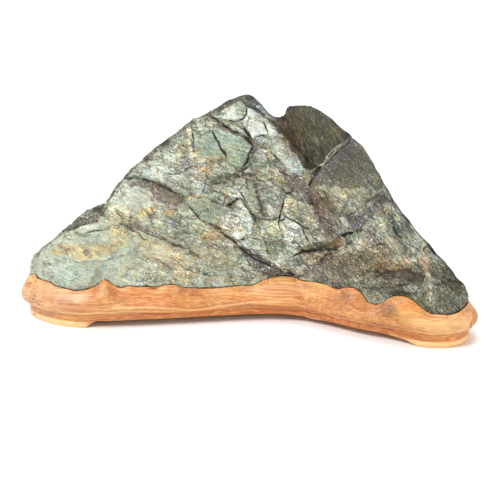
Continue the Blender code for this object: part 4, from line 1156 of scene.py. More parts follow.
# Scales are per metre, turns in degrees about X, Y and Z
stoneTexture = {
    "turn": (10.0, -14.0, 8.0),  # the grain rises a little to the right on most of the stone
    "stretch": (0.6, 0.9, 1.4),
    "rightTurn": (10.0, -42.0, 8.0),  # and dips to the right on the right flank
    "rightStretch": (0.35, 0.9, 1.5),
    "brushTurns": (-16.0, -42.0, -64.0),  # streaks: most of the stone, right flank, second peak
    "brushStretch": (0.18, 0.6, 1.3),
    "brushScale": 620.0,
    "broadScale": 80.0,
    "streakScale": 300.0,
    "speckScale": 900.0,
    "chipScale": 420.0,
    "faceScale": 88.0,  # cleaved faces, a centimetre wide
    "faceWanderScale": 46.0,
    "faceWander": 22.0 * mm,
    "faceLine": 0.05,  # of a face's size
    "faceGapScale": 60.0,
    "hueScale": 210.0,
    "chipTones": (0.82, 1.14),  # what the colour is multiplied by, from the darkest to the lightest
    "speckTones": (0.52, 1.46),
    "brushTones": (0.66, 1.32),
    "facetTones": (0.88, 1.1),
    "faceTones": (0.87, 1.12),
    "hairScale": 190.0,
    "hairBendScale": 260.0,
    "hairBend": 4.0 * mm,
    "hairLine": 0.09,
    "hairGapScale": 120.0,
    "cracks": 0.96,  # strengths of the dark lines
    "seams": 0.75,
    "hairs": 0.75,
    "faceLines": 0.8,
    "dirtAndShade": 0.5,  # in hollows: dirt and painted shade
    "worn": 0.45,  # on crests: wear and painted light
    "flecks": 0.27,  # on the dark second peak
    "busy": (0.2, 0.35),  # how much of the grain is left on the dark second peak and on calm faces
    "roughness": (-0.14, 0.16),  # how far it goes below and above the stone's own
    "bump": (0.75, 0.7 * mm),  # strength and height
    "bumpParts": {"speck": 0.4, "chip": 0.3, "brush": 1.2, "hairs": 0.8},  # beside the streaks
}


def stoneTextures(tree):
    # the noises, cells and fields that the stone's colour, lines and bump share
    look = stoneTexture
    place = tree.nodes.new("ShaderNodeTexCoord").outputs["Object"]
    olive = shaderField(tree, "olive")
    calm = shaderField(tree, "calm")
    onRight = calc(tree, "GREATER_THAN", shaderField(tree, "dip"), 0.5)
    leanings = {0: onRight, 4: stretched(tree, place, look["turn"], look["stretch"]),
                5: stretched(tree, place, look["rightTurn"], look["rightStretch"])}
    leaning = wire(tree, "ShaderNodeMix", leanings, data_type="VECTOR").outputs[1]
    brushes = []
    for turn in look["brushTurns"]:
        brushed = stretched(tree, place, (10.0, turn, 8.0), look["brushStretch"])
        brushes.append(noiseNode(tree, brushed, look["brushScale"], 4.0, 0.7, 0.3)[0])
    brush = blend(tree, olive, blend(tree, onRight, brushes[0], brushes[1]), brushes[2])
    dark = calc(tree, "MAXIMUM", olive, shaderField(tree, "deepShade"))
    onDark, onCalm = look["busy"]
    busy = times(tree, remap(tree, dark, 0.0, 1.0, 1.0, onDark), remap(tree, calm, 0.3, 0.9, 1.0, onCalm))
    wander = noiseNode(tree, place, look["faceWanderScale"], 4.0, 0.6)["Color"]
    wandering = vectorCalc(tree, "ADD", leaning, scaled(tree, wander, look["faceWander"]))
    return {
        "place": place,
        "leaning": leaning,
        "olive": olive,
        "calm": calm,
        "gritty": shaderField(tree, "gritty"),
        "busy": busy,
        "brush": brush,
        "broad": noiseNode(tree, place, look["broadScale"], 8.0, 0.68, 0.8)[0],
        "streak": noiseNode(tree, leaning, look["streakScale"], 6.0, 0.72, 0.5)[0],
        "speck": noiseNode(tree, place, look["speckScale"], 3.0, 0.65)[0],
        "chip": colourParts(tree, cellsNode(tree, leaning, look["chipScale"])["Color"])[0],
        "face": colourParts(tree, cellsNode(tree, wandering, look["faceScale"])["Color"])[0],
        "faceEdge": cellsNode(tree, wandering, look["faceScale"], "DISTANCE_TO_EDGE")["Distance"],
    }


def speckled(tree, made, colour, low, high):
    # the washes and speckles whose size in mm is from low to high
    for number, (first, second, size, level, soft, strength) in enumerate(stoneSpeckles):
        if low <= size < high:
            ground = made["leaning"] if number % 2 else made["place"]
            moved = vectorCalc(tree, "ADD", ground, (0.3 * number, 0, 0))
            spot = noiseNode(tree, moved, 1 / (size * mm), 6.0, 0.72, 0.5)[0]
            cover = remap(tree, spot, level, level + soft, 0.0, strength, "SMOOTHSTEP")
            tone = mixColour(tree, made["chip"], first, second)
            colour = mixColour(tree, times(tree, cover, made["busy"]), colour, tone)
    return colour


def layeredColour(tree, made):
    # the ground, the layers that follow the painted fields, and the flecks of the dark second peak
    broad = minus(tree, remap(tree, made["broad"], 0.38, 0.62), 0.5)
    even = times(tree, broad, remap(tree, made["calm"], 0.0, 1.0, 1.0, 0.4))
    colour = mixColour(tree, plus(tree, even, 0.55), stoneGround["shade"], stoneGround["light"])
    colour = mixColour(tree, remap(tree, made["streak"], 0.42, 0.58, 0.0, 0.7), colour, stoneGround["sage"])
    colour = speckled(tree, made, colour, 4, 99)  # the wide washes lie under the layers
    for name, first, second, size, breaking, strength in stoneLayers:
        grit = noiseNode(tree, made["leaning"], 1 / (size * mm), 6.0, 0.72, 0.5)[0]
        wide = noiseNode(tree, made["place"], 0.35 / (size * mm), 4.0, 0.68)[0]
        reach = timesPlus(tree, minus(tree, grit, 0.5), breaking * 1.1, shaderField(tree, name))
        cover = remap(tree, reach, 0.3, 0.7, 0.0, strength, "SMOOTHSTEP")
        tone = mixColour(tree, remap(tree, wide, 0.4, 0.6), first, second)
        colour = mixColour(tree, cover, colour, tone)
    colour = speckled(tree, made, colour, 0, 4)
    fleck = remap(tree, made["brush"], 0.53, 0.62, 0.0, stoneTexture["flecks"])
    fleck = times(tree, fleck, made["olive"])
    return mixColour(tree, fleck, colour, stoneGround["fleck"])


def varied(tree, made, colour):
    # each chip and cleaved face has its own tone, and each few millimetres is a little warmer,
    # cooler or greener than the next
    look = stoneTexture
    tones = remap(tree, made["chip"], 0.0, 1.0, *look["chipTones"])
    for source, low, high, factors in (
            (made["speck"], 0.32, 0.68, look["speckTones"]),
            (made["brush"], 0.36, 0.64, look["brushTones"]),
            (shaderField(tree, "facet"), 0.15, 0.85, look["facetTones"]),
            (made["face"], 0.0, 1.0, look["faceTones"])):
        tones = times(tree, tones, remap(tree, source, low, high, *factors))
    contrast = timesPlus(tree, made["calm"], -0.5, timesPlus(tree, made["gritty"], 0.4, 1.0))
    tones = calc(tree, "POWER", tones, timesPlus(tree, made["olive"], 0.5, contrast))
    hues = colourParts(tree, noiseNode(tree, made["place"], look["hueScale"], 3.0, 0.6, 0.4)["Color"])
    warm = times(tree, minus(tree, hues[0], 0.5), remap(tree, made["gritty"], 0.0, 1.0, 0.5, 0.9))
    warm = timesPlus(tree, shaderField(tree, "warmth"), 0.5, warm)
    green = times(tree, minus(tree, hues[1], 0.5), 0.4)
    return tinted(tree, colour, times(tree, tones, plus(tree, 1.0, warm)),
                  times(tree, tones, plus(tree, 1.0, green)), times(tree, tones, minus(tree, 1.0, warm)))


def darkLines(tree, made):
    # the drawn cracks with the painted contact shadow along the wood, the seams between chips, hairs,
    # and thin lines round the cleaved faces: how dark they are together, and the hairs alone
    look = stoneTexture
    place = made["place"]
    ragged = times(tree, minus(tree, made["speck"], 0.5), 0.9)
    seams = remap(tree, plus(tree, shaderField(tree, "seam"), ragged), 0.35, 0.9, 0.0, look["seams"])
    bend = noiseNode(tree, place, look["hairBendScale"])["Color"]
    bent = vectorCalc(tree, "ADD", made["leaning"], scaled(tree, bend, look["hairBend"]))
    edge = cellsNode(tree, bent, look["hairScale"], "DISTANCE_TO_EDGE")["Distance"]
    patchy = remap(tree, noiseNode(tree, place, look["hairGapScale"])[0], 0.45, 0.6, 0.0, look["hairs"])
    hairs = times(tree, remap(tree, edge, 0.0, look["hairLine"], 1.0, 0.0), patchy)
    hairs = times(tree, hairs, made["busy"])
    broken = remap(tree, noiseNode(tree, place, look["faceGapScale"])[0], 0.4, 0.58, 0.0, look["faceLines"])
    cleaved = times(tree, remap(tree, made["faceEdge"], 0.0, look["faceLine"], 1.0, 0.0), broken)
    cleaved = times(tree, cleaved, remap(tree, made["olive"], 0.0, 1.0, 1.0, 0.15))
    # the dark field holds the cracks and the painted contact shadow along the wood
    cracks = remap(tree, plus(tree, shaderField(tree, "dark"), ragged), 0.2, 0.62, 0.0, look["cracks"])
    lines = calc(tree, "MAXIMUM", calc(tree, "MAXIMUM", cracks, cleaved), calc(tree, "MAXIMUM", seams, hairs))
    return lines, hairs


def stoneFinish():
    finish, tree, shader = newMaterial("greenStone")
    made = stoneTextures(tree)
    colour = varied(tree, made, layeredColour(tree, made))
    # hollows are darker and browner, with dirt and painted shade, and crests paler, with wear and painted
    # light
    relief = timesPlus(tree, minus(tree, made["streak"], 0.5), 2.6, shaderField(tree, "relief"))
    dirtAndShade = remap(tree, relief, -0.3, -0.95, 0.0, stoneTexture["dirtAndShade"])
    colour = mixColour(tree, dirtAndShade, colour, stoneGround["hollow"])
    crest = times(tree, remap(tree, relief, 0.35, 0.95, 0.0, stoneTexture["worn"]), made["busy"])
    colour = mixColour(tree, crest, colour, stoneGround["crest"])
    # the painted light and shade of stoneTones, with the stone's own lighter and darker tones
    colour = scaled(tree, colour, plus(tree, 1.0, shaderField(tree, "light")))
    lines, hairs = darkLines(tree, made)
    colour = mixColour(tree, lines, colour, stoneGround["crack"])
    smoothest, roughest = (stoneGround["roughness"] + more for more in stoneTexture["roughness"])
    roughness = remap(tree, made["streak"], 0.3, 0.7, smoothest, roughest)
    parts = stoneTexture["bumpParts"]
    height = made["streak"]
    for name in ("chip", "speck", "brush"):
        height = timesPlus(tree, made[name], parts[name], height)
    height = minus(tree, height, times(tree, hairs, parts["hairs"]))
    connect(tree, shader, colour, roughness, height, stoneTexture["bump"])
    shader.inputs["Specular IOR Level"].default_value = stoneGround["specular"]
    return finish


# The stand

stand = {
    "stations": 520,  # round the widest line
    "frontShare": 1.6,  # how many times closer the stations are along the front
    "rowSteps": 3,  # rows of the skin for each row of standRows
    "rimZ": 31.5,  # the rim's usual height in mm, like the other sizes here
    "bellyZ": 16.0,  # the rim's rise and the swellings fade out down to this height
    "rimWidth": 7.4,  # from the stone's foot out to the widest line
    "frontFade": (0.6, 0.1),  # the outward direction's Y where the front's swellings start and are full
    "backFade": (-0.25, 0.35),  # and where the rim's height goes over from the drawn edge to backRim
    "edgeIn": 8.0,  # how far in from the widest line the rim's upper edge is, and its usual height
    "edgeZ": 31.9,
    "gap": 0.4,  # between the wood and the stone
    "leastIn": 5.0,  # the rim's inner face never comes further out than this
    "reach": 60.0,  # how far in from the widest line the stone is looked for
    "footBevel": 3.2,  # how softly a foot's ends run out
    "sharpAngle": 50.0,  # degrees
    "raggedSize": 7,  # of the drawn patches' edges
    "seed": 23,
}

# What the photograph shows on the stand's front, in its pixels, as on the stone: shade is painted shade,
# shine painted highlights, smudge real smudges, and open the open grain, with one painted shadow of the stone
standPatches = {
    "besideRib": ("shade", 0.8, 2.0, [(107, 285), (112, 286), (121, 290), (117, 297), (109, 294)]),
    "leftOfRib": ("shade", 0.4, 2.0, [(88, 291), (95, 287), (97, 294), (90, 298)]),
    "besideSecondRib": ("shade", 0.8, 3.0, [(178, 286), (190, 289), (206, 290), (200, 296), (184, 294)]),
    "underRim": ("shade", 0.4, 3.0, [(206, 289), (250, 285), (252, 290), (208, 294)]),
    "upperMiddle": ("shade", 0.35, 5.0, [(258, 284), (296, 280), (330, 288), (320, 294), (280, 290)]),
    "rib": ("shine", 0.6, 3.5, [(99, 288), (104, 286), (106, 292), (103, 298), (98, 298)]),
    "secondRib": ("shine", 0.4, 4.0, [(170, 289), (176, 289), (177, 295), (172, 298)]),
    "leftEnd": ("shine", 0.4, 5.0, [(40, 282), (60, 288), (86, 293), (84, 302), (60, 302), (42, 296)]),
    "rightEnd": ("shine", 0.5, 5.0, [
        (400, 308), (430, 318), (466, 314), (470, 328), (430, 332), (396, 322)]),
    "firstSmudge": ("smudge", 0.9, 3.0, [(339, 290), (346, 288), (352, 295), (350, 301), (342, 300)]),
    "secondSmudge": ("smudge", 1.0, 3.0, [
        (378, 303), (386, 299), (394, 304), (396, 311), (384, 313), (377, 308)]),
    "smallSmudge": ("smudge", 0.5, 3.0, [(392, 297), (404, 298), (402, 303), (392, 302)]),
    "endShade": ("shade", 0.7, 2.0, [(470, 304), (478, 312), (478, 334), (472, 332), (473, 316)]),
    "leftGlint": ("shine", 1.0, 1.5, [(71, 299), (76, 300), (79, 302), (73, 302)]),
}
standLines = {
    # painted highlights along the belly
    "longHighlight": (1.1, "shine", 0.9, [
        (95, 309), (120, 308), (139, 306.6), (161, 307.5), (189, 310), (205, 308.5), (218, 306), (249, 302),
        (290, 301)]),
    "longShade": (1.8, "shade", 0.7, [
        (120, 312), (170, 314), (204, 312), (230, 308), (260, 305), (300, 308), (340, 316), (390, 326)]),
    "openGrainOne": (0.8, "open", 0.9, [(27, 300), (35, 302), (43, 305)]),
    "openGrainTwo": (0.8, "open", 0.9, [(26, 304), (33, 307), (39, 308)]),
    "openGrainThree": (0.7, "open", 0.7, [(30, 297), (38, 300), (46, 303)]),
    "openGrainFour": (0.6, "open", 0.6, [(30, 309), (44, 313), (58, 315)]),
    "knot": (1.6, "open", 0.9, [(33, 313), (35, 314)]),
    "grainLineOne": (0.7, "open", 0.6, [(380, 323), (396, 327), (412, 330)]),
    "grainLineTwo": (0.6, "open", 0.5, [(400, 326), (424, 331), (440, 332)]),
    "grainLineThree": (0.6, "open", 0.5, [(210, 297), (236, 294), (262, 293)]),
    "endNotch": (1.4, "open", 0.8, [(471, 322), (470, 330)]),
    "lowHighlight": (0.8, "shine", 0.8, [(60, 312), (82, 313.5), (132, 311), (182, 311.5)]),
    # the stone's shadow painted on the wood, in the open grain's dark
    "stoneShadow": (1.1, "open", 0.9, [(398, 295.5), (404, 295.5), (408, 297)]),
}
# Where the wood is lighter (+) or darker (-), partly painted light and shade and partly its own tone, and
# warmer (+) or cooler (-): middle in pixels, half width, half height, light, warmth
standTones = [
    (50, 295, 34, 20, -0.05, -0.5), (26, 288, 8, 10, 0, -0.5), (72, 302, 22, 10, 0, -0.45),
    (97, 291, 8, 10, 0, -0.4), (40, 316, 22, 8, -0.1, -0.25), (338, 301, 16, 12, -0.12, -0.2),
    (385, 310, 14, 10, -0.1, -0.05), (350, 296, 14, 8, -0.08, -0.15), (390, 318, 30, 14, -0.22, 0.15),
    (150, 304, 24, 8, 0.15, -0.2), (175, 292, 10, 8, 0, -0.3), (232, 292, 12, 8, 0, 0.4),
    (190, 290, 14, 8, -0.1, 0.1), (260, 296, 46, 8, 0.12, 0), (320, 286, 12, 6, 0, 0.6),
    (64, 288, 12, 6, 0, 0.3), (408, 306, 14, 10, 0.1, 0.3), (366, 306, 8, 8, 0, 0.3),
    (455, 340, 26, 6, 0.25, 0.2), (470, 318, 8, 12, 0.1, -0.4), (472, 330, 6, 6, 0, 0.3),
    (30, 297, 10, 8, -0.15, 0), (210, 310, 50, 5, 0.05, 0.4), (150, 301, 20, 4, 0, -0.2),
    (255, 290, 44, 6, 0, -0.2), (280, 280, 22, 5, 0.3, 0), (462, 338, 12, 8, 0, -0.2),
    (146, 302, 26, 9, 0, -0.2), (270, 290, 30, 12, 0, -0.15), (332, 304, 14, 8, 0, -0.2),
    (400, 320, 18, 8, 0, 0.2), (464, 341, 16, 6, 0.15, 0), (85, 300, 14, 8, 0, -0.2),
]
standKinds = ("shade", "shine", "smudge", "open")

# The stone's foot seen from above, along the front and then back round, in mm
footLine = [
    (-178, -15), (-169, -29), (-150, -39.5), (-131, -43), (-110, -41), (-75, -33), (-37, -23), (-11, -16),
    (14, -11), (42, -11.5), (63, -20), (87, -32), (110, -40), (127, -46), (141, -48.5), (154, -46.5),
    (164, -39.5), (169.5, -28), (170.5, -12), (164, 4), (148, 19), (118, 33), (80, 44), (40, 52), (0, 54),
    (-40, 51), (-80, 44), (-115, 33), (-148, 18), (-170, 2),
]
# The wood's upper edge along the front, in the photograph's pixels
rimEdge = [
    (31, 274.3), (34, 278.5), (41, 281.4), (51, 284), (61, 286.4), (69, 288.6), (75, 290.1), (81, 289.7),
    (89, 288.3), (95, 286.4), (99, 283.4), (101.5, 280.7), (104.5, 279.9), (108, 280.7), (111.5, 283.6),
    (116, 286.1), (120, 287.1), (129, 285.7), (139, 286.3), (149, 286), (157, 285.3), (164, 284),
    (171, 283.4), (177, 284), (181.5, 286), (186, 287.4), (199, 288.1), (213, 288.1), (227, 286.4),
    (241, 285.1), (251, 284.3), (256, 282.6), (262, 279.7), (271, 277.1), (281, 276.6), (291, 277.1),
    (301, 277.9), (311, 279.7), (319, 281.7), (328, 284), (335, 286.4), (340.5, 288.1), (343, 287.1),
    (346.5, 286.4), (353.5, 287.1), (359, 290), (363.5, 295), (368, 300), (376, 302), (382, 300.3),
    (388, 297.1), (393, 295), (399, 294.7), (405, 295.4), (412, 299.3), (419, 305), (426, 310),
    (432, 313.3), (441, 314.6), (451, 314.3), (459, 311.4), (465, 307.1), (468, 300.7), (469.5, 298.6),
]
# How far the wood's crest shows below (+) or above (-) where it meets the stone, in pixels: (x, shift)
crestShift = [
    (31, 0), (98, 0.6), (108, 1.4), (118, 0.4), (128, -0.6), (225, -0.6), (238, 0.6), (255, 1.6),
    (296, 1.6), (312, 0.4), (345, 0), (358, 1.2), (376, 2.2), (390, 1), (410, 1.2), (428, 1.2), (440, -0.3),
    (458, 0.6), (470, 0),
]
# Height of the back rim above or below its usual height: (x, rise)
backRim = [
    (-180, 1.0), (-130, 3.0), (-95, 0.0), (-60, 3.5), (-20, 0.5), (20, 3.0), (60, -0.5), (100, 2.5),
    (140, -1.5), (160, -5.0), (180, -6.0),
]
# Swellings of the wood under the rim's high points: (x, half width, how far they stand out)
ribs = [
    (-111, 5.5, 3.4), (-59, 5.5, 2.4), (-150, 12.0, 0.8), (24, 22.0, 1.2), (80, 8.0, 1.6), (117, 9.0, 1.8),
    (178, 12.0, -2.6), (-186, 14.0, -0.7),
]
# Where the feet are, as plan directions in degrees from +X
feet = [(-23.3, 9.0), (74.0, 110.0), (171.0, 202.8)]
# The stand's section from the middle of its underside out and up, over the rim and down to the seat.
# Each row: in from the widest line and height, between the feet; the same on a foot; how far the
# row leaves the widest line for the stone's own surface; its distance from the stone
standRows = [
    (16.5, 5.5, 16.5, 5.5, 0, 0), (16.3, 5.5, 16.4, 4.4, 0, 0), (15.9, 5.5, 16.2, 0.6, 0, 0),
    (15.2, 5.5, 15.6, 0.0, 0, 0), (11.0, 5.5, 11.4, 0.0, 0, 0), (8.4, 5.5, 7.8, 0.0, 0, 0),
    (7.8, 5.5, 6.6, 0.1, 0, 0), (7.4, 5.5, 6.0, 1.2, 0, 0), (7.1, 5.6, 5.8, 2.6, 0, 0),
    (6.9, 5.8, 6.2, 4.0, 0, 0), (6.7, 6.2, 6.8, 4.9, 0, 0), (6.4, 7.0, 6.3, 6.2, 0, 0),
    (5.5, 9.2, 5.5, 9.2, 0, 0), (5.2, 10.3, 5.2, 10.3, 0, 0), (5.4, 11.0, 5.4, 11.0, 0, 0),
    (4.7, 11.5, 4.7, 11.5, 0, 0), (3.4, 12.0, 3.4, 12.0, 0, 0), (1.6, 13.6, 1.6, 13.6, 0, 0),
    (0.3, 16.0, 0.3, 16.0, 0, 0), (0.0, 18.4, 0.0, 18.4, 0, 0), (0.6, 21.4, 0.6, 21.4, 0, 0),
    (1.9, 24.8, 1.9, 24.8, 0, 0), (3.7, 27.9, 3.7, 27.9, 0, 0), (5.0, 29.9, 5.0, 29.9, 0.1, 2.0),
    (6.0, 31.0, 6.0, 31.0, 0.5, 1.6), (7.0, 31.7, 7.0, 31.7, 0.9, 1.0), (8.0, 31.9, 8.0, 31.9, 1, 0.5),
    (8.0, 31.6, 8.0, 31.6, 1, 0.2), (8.0, 30.8, 8.0, 30.8, 1, 0.0), (8.0, 28.0, 8.0, 28.0, 1, 0.0),
    (8.0, 23.0, 8.0, 23.0, 1, 0.0), (8.0, 18.0, 8.0, 18.0, 1, 0.0),
]


def throughPoints(points, steps, closed):
    # points on the Catmull-Rom curve through the given ones
    points = np.array(points, float)
    if not closed:
        points = np.vstack([2 * points[0] - points[1], points, 2 * points[-1] - points[-2]])
    total = len(points) if closed else len(points) - 3
    t = (np.arange(steps) / steps)[:, None]
    runs = []
    for i in range(total):
        a, b, c, d = (points[(i + k + (-1 if closed else 0)) % len(points)] for k in range(4))
        square = 2 * a - 5 * b + 4 * c - d
        cube = 3 * b - a - 3 * c + d
        runs.append(0.5 * (2 * b + (c - a) * t + square * t**2 + cube * t**3))
    return np.vstack(runs if closed else runs + [points[-2:-1]])


def widestLine(count):
    # the stand's widest line and its outward directions, in mm
    fine = throughPoints(footLine, 24, True)
    ring = np.vstack([fine, fine[:1]])
    run = np.diff(ring, axis=0)
    weight = np.where(run[:, 0] > 0, stand["frontShare"], 1)
    along = np.concatenate([[0], np.cumsum(np.linalg.norm(run, axis=1) * weight)])
    wanted = np.linspace(0, along[-1], count, endpoint=False)
    line = np.column_stack([np.interp(wanted, along, ring[:, k]) for k in range(2)])
    turn = np.roll(line, -1, axis=0) - np.roll(line, 1, axis=0)
    outward = np.column_stack([turn[:, 1], -turn[:, 0]])
    outward /= np.linalg.norm(outward, axis=1)[:, None]
    return line + outward * stand["rimWidth"], outward


def upperEdge(line, outward):
    # where the rim's upper edge lies in plan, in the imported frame
    return line - outward * stand["edgeIn"] + centring[:2]


def stationRise(line, outward):
    # how far the rim rises above its usual height to meet the drawn edge, or at the back as backRim says
    edge = upperEdge(line, outward)
    step = 10
    low, high = (toPhoto(np.column_stack([edge, np.full(len(edge), stand["edgeZ"] + more)]))
                 for more in (0, step))
    pixelsPerMm = (low[:, 1] - high[:, 1]) / step
    drawnEdge = np.interp(low[:, 0], *zip(*rimEdge)) + np.interp(low[:, 0], *zip(*crestShift))
    front = (low[:, 1] - drawnEdge) / pixelsPerMm
    back = smoothStep(*stand["backFade"], outward[:, 1])
    return front * (1 - back) + np.interp(line[:, 0], *zip(*backRim)) * back


def rimRise(points):
    # the rim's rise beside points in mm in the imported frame, from the two nearest stations
    line, outward = widestLine(stand["stations"])
    rise = stationRise(line, outward)
    stations = KDTree(len(line))
    for number, (x, y) in enumerate(upperEdge(line, outward)):
        stations.insert((x, y, 0), number)
    stations.balance()
    near = []
    for x, y, _ in points:
        (_, first, toFirst), (_, second, toSecond) = stations.find_n((x, y, 0), 2)
        share = toSecond / (toFirst + toSecond)
        near.append(rise[first] * share + rise[second] * (1 - share))
    return np.array(near)


def swellings(line, outward, wider):
    # how far the wood stands out beside each station, on the front only
    out = sum(height * np.exp(-(((line[:, 0] - x) / (half * wider)) ** 2)) for x, half, height in ribs)
    return out * smoothStep(*stand["frontFade"], outward[:, 1])


def onFeet(line):
    # 1 where a station is on a foot, 0 where it isn't
    plan = np.degrees(np.arctan2(line[:, 1], line[:, 0]))
    radius = np.linalg.norm(line, axis=1)
    foot = np.zeros(len(line))
    for start, end in feet:
        off = np.abs((plan - (start + end) / 2 + 180) % 360 - 180)
        inside = np.radians((end - start) / 2 - off) * radius
        foot = np.maximum(foot, smoothStep(-0.4, 0.6, inside / stand["footBevel"]))
    return foot


def standPath():
    # the widest line as loose points that carry the rim's rise, the swellings and the feet
    line, outward = widestLine(stand["stations"])
    mesh = bpy.data.meshes.new("standPath")
    flat = np.column_stack([line + centring[:2], np.zeros(len(line))]) * mm
    mesh.from_pydata(flat.tolist(), [], [])
    writeFields(mesh, {
        "rise": stationRise(line, outward),
        "swell": swellings(line, outward, 1.0),  # narrow at the rim, wider where it runs out below
        "swellFoot": swellings(line, outward, 2.0),
        "foot": onFeet(line),
        "outX": outward[:, 0],
        "outY": outward[:, 1],
    })
    return newObject("standPath", mesh)


def standSection():
    # the section as loose points, one for each row of the skin
    rows = throughPoints(standRows, stand["rowSteps"], False)
    rows[:, 4] = np.clip(rows[:, 4], 0, 1)
    rows[:, 1] = np.maximum(rows[:, 1], 0)
    rows[:, 3] = np.maximum(rows[:, 3], 0)
    mesh = bpy.data.meshes.new("standSection")
    mesh.from_pydata([(0, 0, k * mm) for k in range(len(rows))], [], [])
    names = ("inset", "height", "footInset", "footHeight", "toStone", "clear")
    writeFields(mesh, dict(zip(names, rows.T)))
    return newObject("standSection", mesh), len(rows)


def standTree():
    # carries the section round the widest line; its inner rows meet the stone, wherever that is
    tree, given, ends = newTree("standSweep", {
        "Path": "Object", "Section": "Object", "Stone": "Object", "Stations": "Int", "Rows": "Int",
        "Belly Height": "Float", "Rim Height": "Float", "Gap": "Float", "Reach": "Float",
        "Least In": "Float", "Wood Finish": "Material"})
    value = given.outputs
    columns = plus(tree, value["Stations"], 1.0)
    grid = wire(tree, "GeometryNodeMeshGrid", {"Vertices X": columns, "Vertices Y": value["Rows"]})
    index = tree.nodes.new("GeometryNodeInputIndex").outputs[0]
    column = calc(tree, "FLOOR", calc(tree, "DIVIDE", index, value["Rows"]))
    station = calc(tree, "MODULO", column, value["Stations"])
    row = calc(tree, "MODULO", index, value["Rows"])

    def shapeOf(name):
        return wire(tree, "GeometryNodeObjectInfo", {"Object": value[name]}).outputs["Geometry"]

    def sampled(name, wanted, at, kind="FLOAT"):
        inputs = {"Geometry": shapeOf(name), "Value": wanted, "Index": at}
        return wire(tree, "GeometryNodeSampleIndex", inputs, data_type=kind).outputs[0]

    def onPath(name):
        return sampled("Path", pointField(tree, name), station)

    def onSection(name):
        return sampled("Section", pointField(tree, name), row)

    foot = onPath("foot")
    inset = blend(tree, foot, onSection("inset"), onSection("footInset"))
    height = blend(tree, foot, onSection("height"), onSection("footHeight"))
    share = remap(tree, height, value["Belly Height"], value["Rim Height"])
    # from 0 at the belly to 1 at the rim, and steeper below than above
    bulge = times(tree, times(tree, share, 1.5), minus(tree, 1.0, calc(tree, "DIVIDE", share, 3.0)))
    swell = blend(tree, share, onPath("swellFoot"), onPath("swell"))
    inset = minus(tree, inset, times(tree, swell, bulge))
    height = timesPlus(tree, share, onPath("rise"), height)

    outward = wire(tree, "ShaderNodeCombineXYZ", {"X": onPath("outX"), "Y": onPath("outY")}).outputs[0]
    lift = wire(tree, "ShaderNodeCombineXYZ", {"Z": times(tree, height, mm)}).outputs[0]
    position = tree.nodes.new("GeometryNodeInputPosition").outputs[0]
    base = vectorCalc(tree, "ADD", sampled("Path", position, station, "FLOAT_VECTOR"), lift)
    found = wire(tree, "GeometryNodeRaycast", {
        "Target Geometry": shapeOf("Stone"), "Source Position": base,
        "Ray Direction": scaled(tree, outward, -1.0), "Ray Length": times(tree, value["Reach"], mm)})
    clear = plus(tree, value["Gap"], onSection("clear"))
    atStone = minus(tree, calc(tree, "DIVIDE", found.outputs["Hit Distance"], mm), clear)
    atStone = calc(tree, "MAXIMUM", atStone, value["Least In"])
    toStone = times(tree, onSection("toStone"), found.outputs["Is Hit"])
    inset = blend(tree, toStone, inset, atStone)
    place = vectorCalc(tree, "ADD", base, scaled(tree, outward, times(tree, inset, -mm)))
    swept = wire(tree, "GeometryNodeSetPosition", {"Geometry": grid.outputs["Mesh"], "Position": place})
    fields = {"upSection": calc(tree, "DIVIDE", row, value["Rows"]), "onFoot": foot}
    kept = storeFields(tree, swept.outputs[0], fields)
    joined = wire(tree, "GeometryNodeMergeByDistance", {"Geometry": kept, "Distance": 1e-5})
    closeTree(tree, joined.outputs[0], value["Wood Finish"], ends)
    return tree


def paintStand(mesh):
    points = readPoints(mesh) / mm
    drawn = np.flatnonzero(seenByCamera(mesh))
    pixels = toPhoto(points[drawn])
    ragged = noiseField(points[drawn], stand["raggedSize"], stand["seed"], 3)
    writeFields(mesh, painted(len(points), standKinds, drawn, pixels, ragged, standPatches, standLines))
    writeFields(mesh, toned(len(points), drawn, pixels, standTones))


def closeStand(mesh):
    # fills the underside and the floor of the seat, and turns every face outwards
    shape = bmesh.new()
    shape.from_mesh(mesh)
    bmesh.ops.holes_fill(shape, edges=[e for e in shape.edges if e.is_boundary], sides=0)
    bmesh.ops.triangulate(shape, faces=[f for f in shape.faces if len(f.verts) > 4])
    bmesh.ops.recalc_face_normals(shape, faces=shape.faces)
    shape.to_mesh(mesh)
    shape.free()
    mesh.shade_smooth()
    mesh.set_sharp_from_angle(angle=math.radians(stand["sharpAngle"]))


woodLook = {
    "light": linear(224, 174, 112),
    "gold": linear(204, 132, 68),
    "dark": linear(156, 84, 38),
    "line": linear(92, 46, 22),
    "stain": linear(120, 82, 60),
    "strip": linear(206, 112, 48),
    "foot": linear(244, 206, 146),
    "stripRows": (0.3, 0.33, 0.44, 0.47),  # up the section: the strip starts, is full, full up to, ends
    "stripStrength": (0.6, 0.3),  # between the feet and on them
    "innerShadowRows": (0.87, 0.9),
    "heart": (0.0, 60.0, -240.0),  # mm: the middle of the tree's rings runs along X through here
    "ringWidth": 0.7,  # mm
    "bend": 8.0 * mm,  # how far the grain wanders
    "bendScale": 22.0,  # scales are per metre
    "broadScale": 42.0,
    "bandScale": 130.0,
    "fibreScale": 700.0,
    "poreScale": 1500.0,
    "stainScale": 36.0,
    "band": 0.6,  # strengths of the grain, from the widest bands to the pores
    "lateWood": 0.85,
    "darkFibre": 0.65,
    "lightFibre": 0.6,
    "pores": 0.55,
    "stains": 0.6,
    "footFace": 0.75,
    "innerShadow": 0.8,  # painted contact shadow: how dark the wood is where it meets the stone
    "roughness": (0.42, 0.62),
    "lacquer": 0.06,
    "lacquerRoughness": 0.3,
    "bump": (0.35, 0.25 * mm),  # strength and height
    "bumpParts": {"fibre": 0.6, "late": 0.4},
}
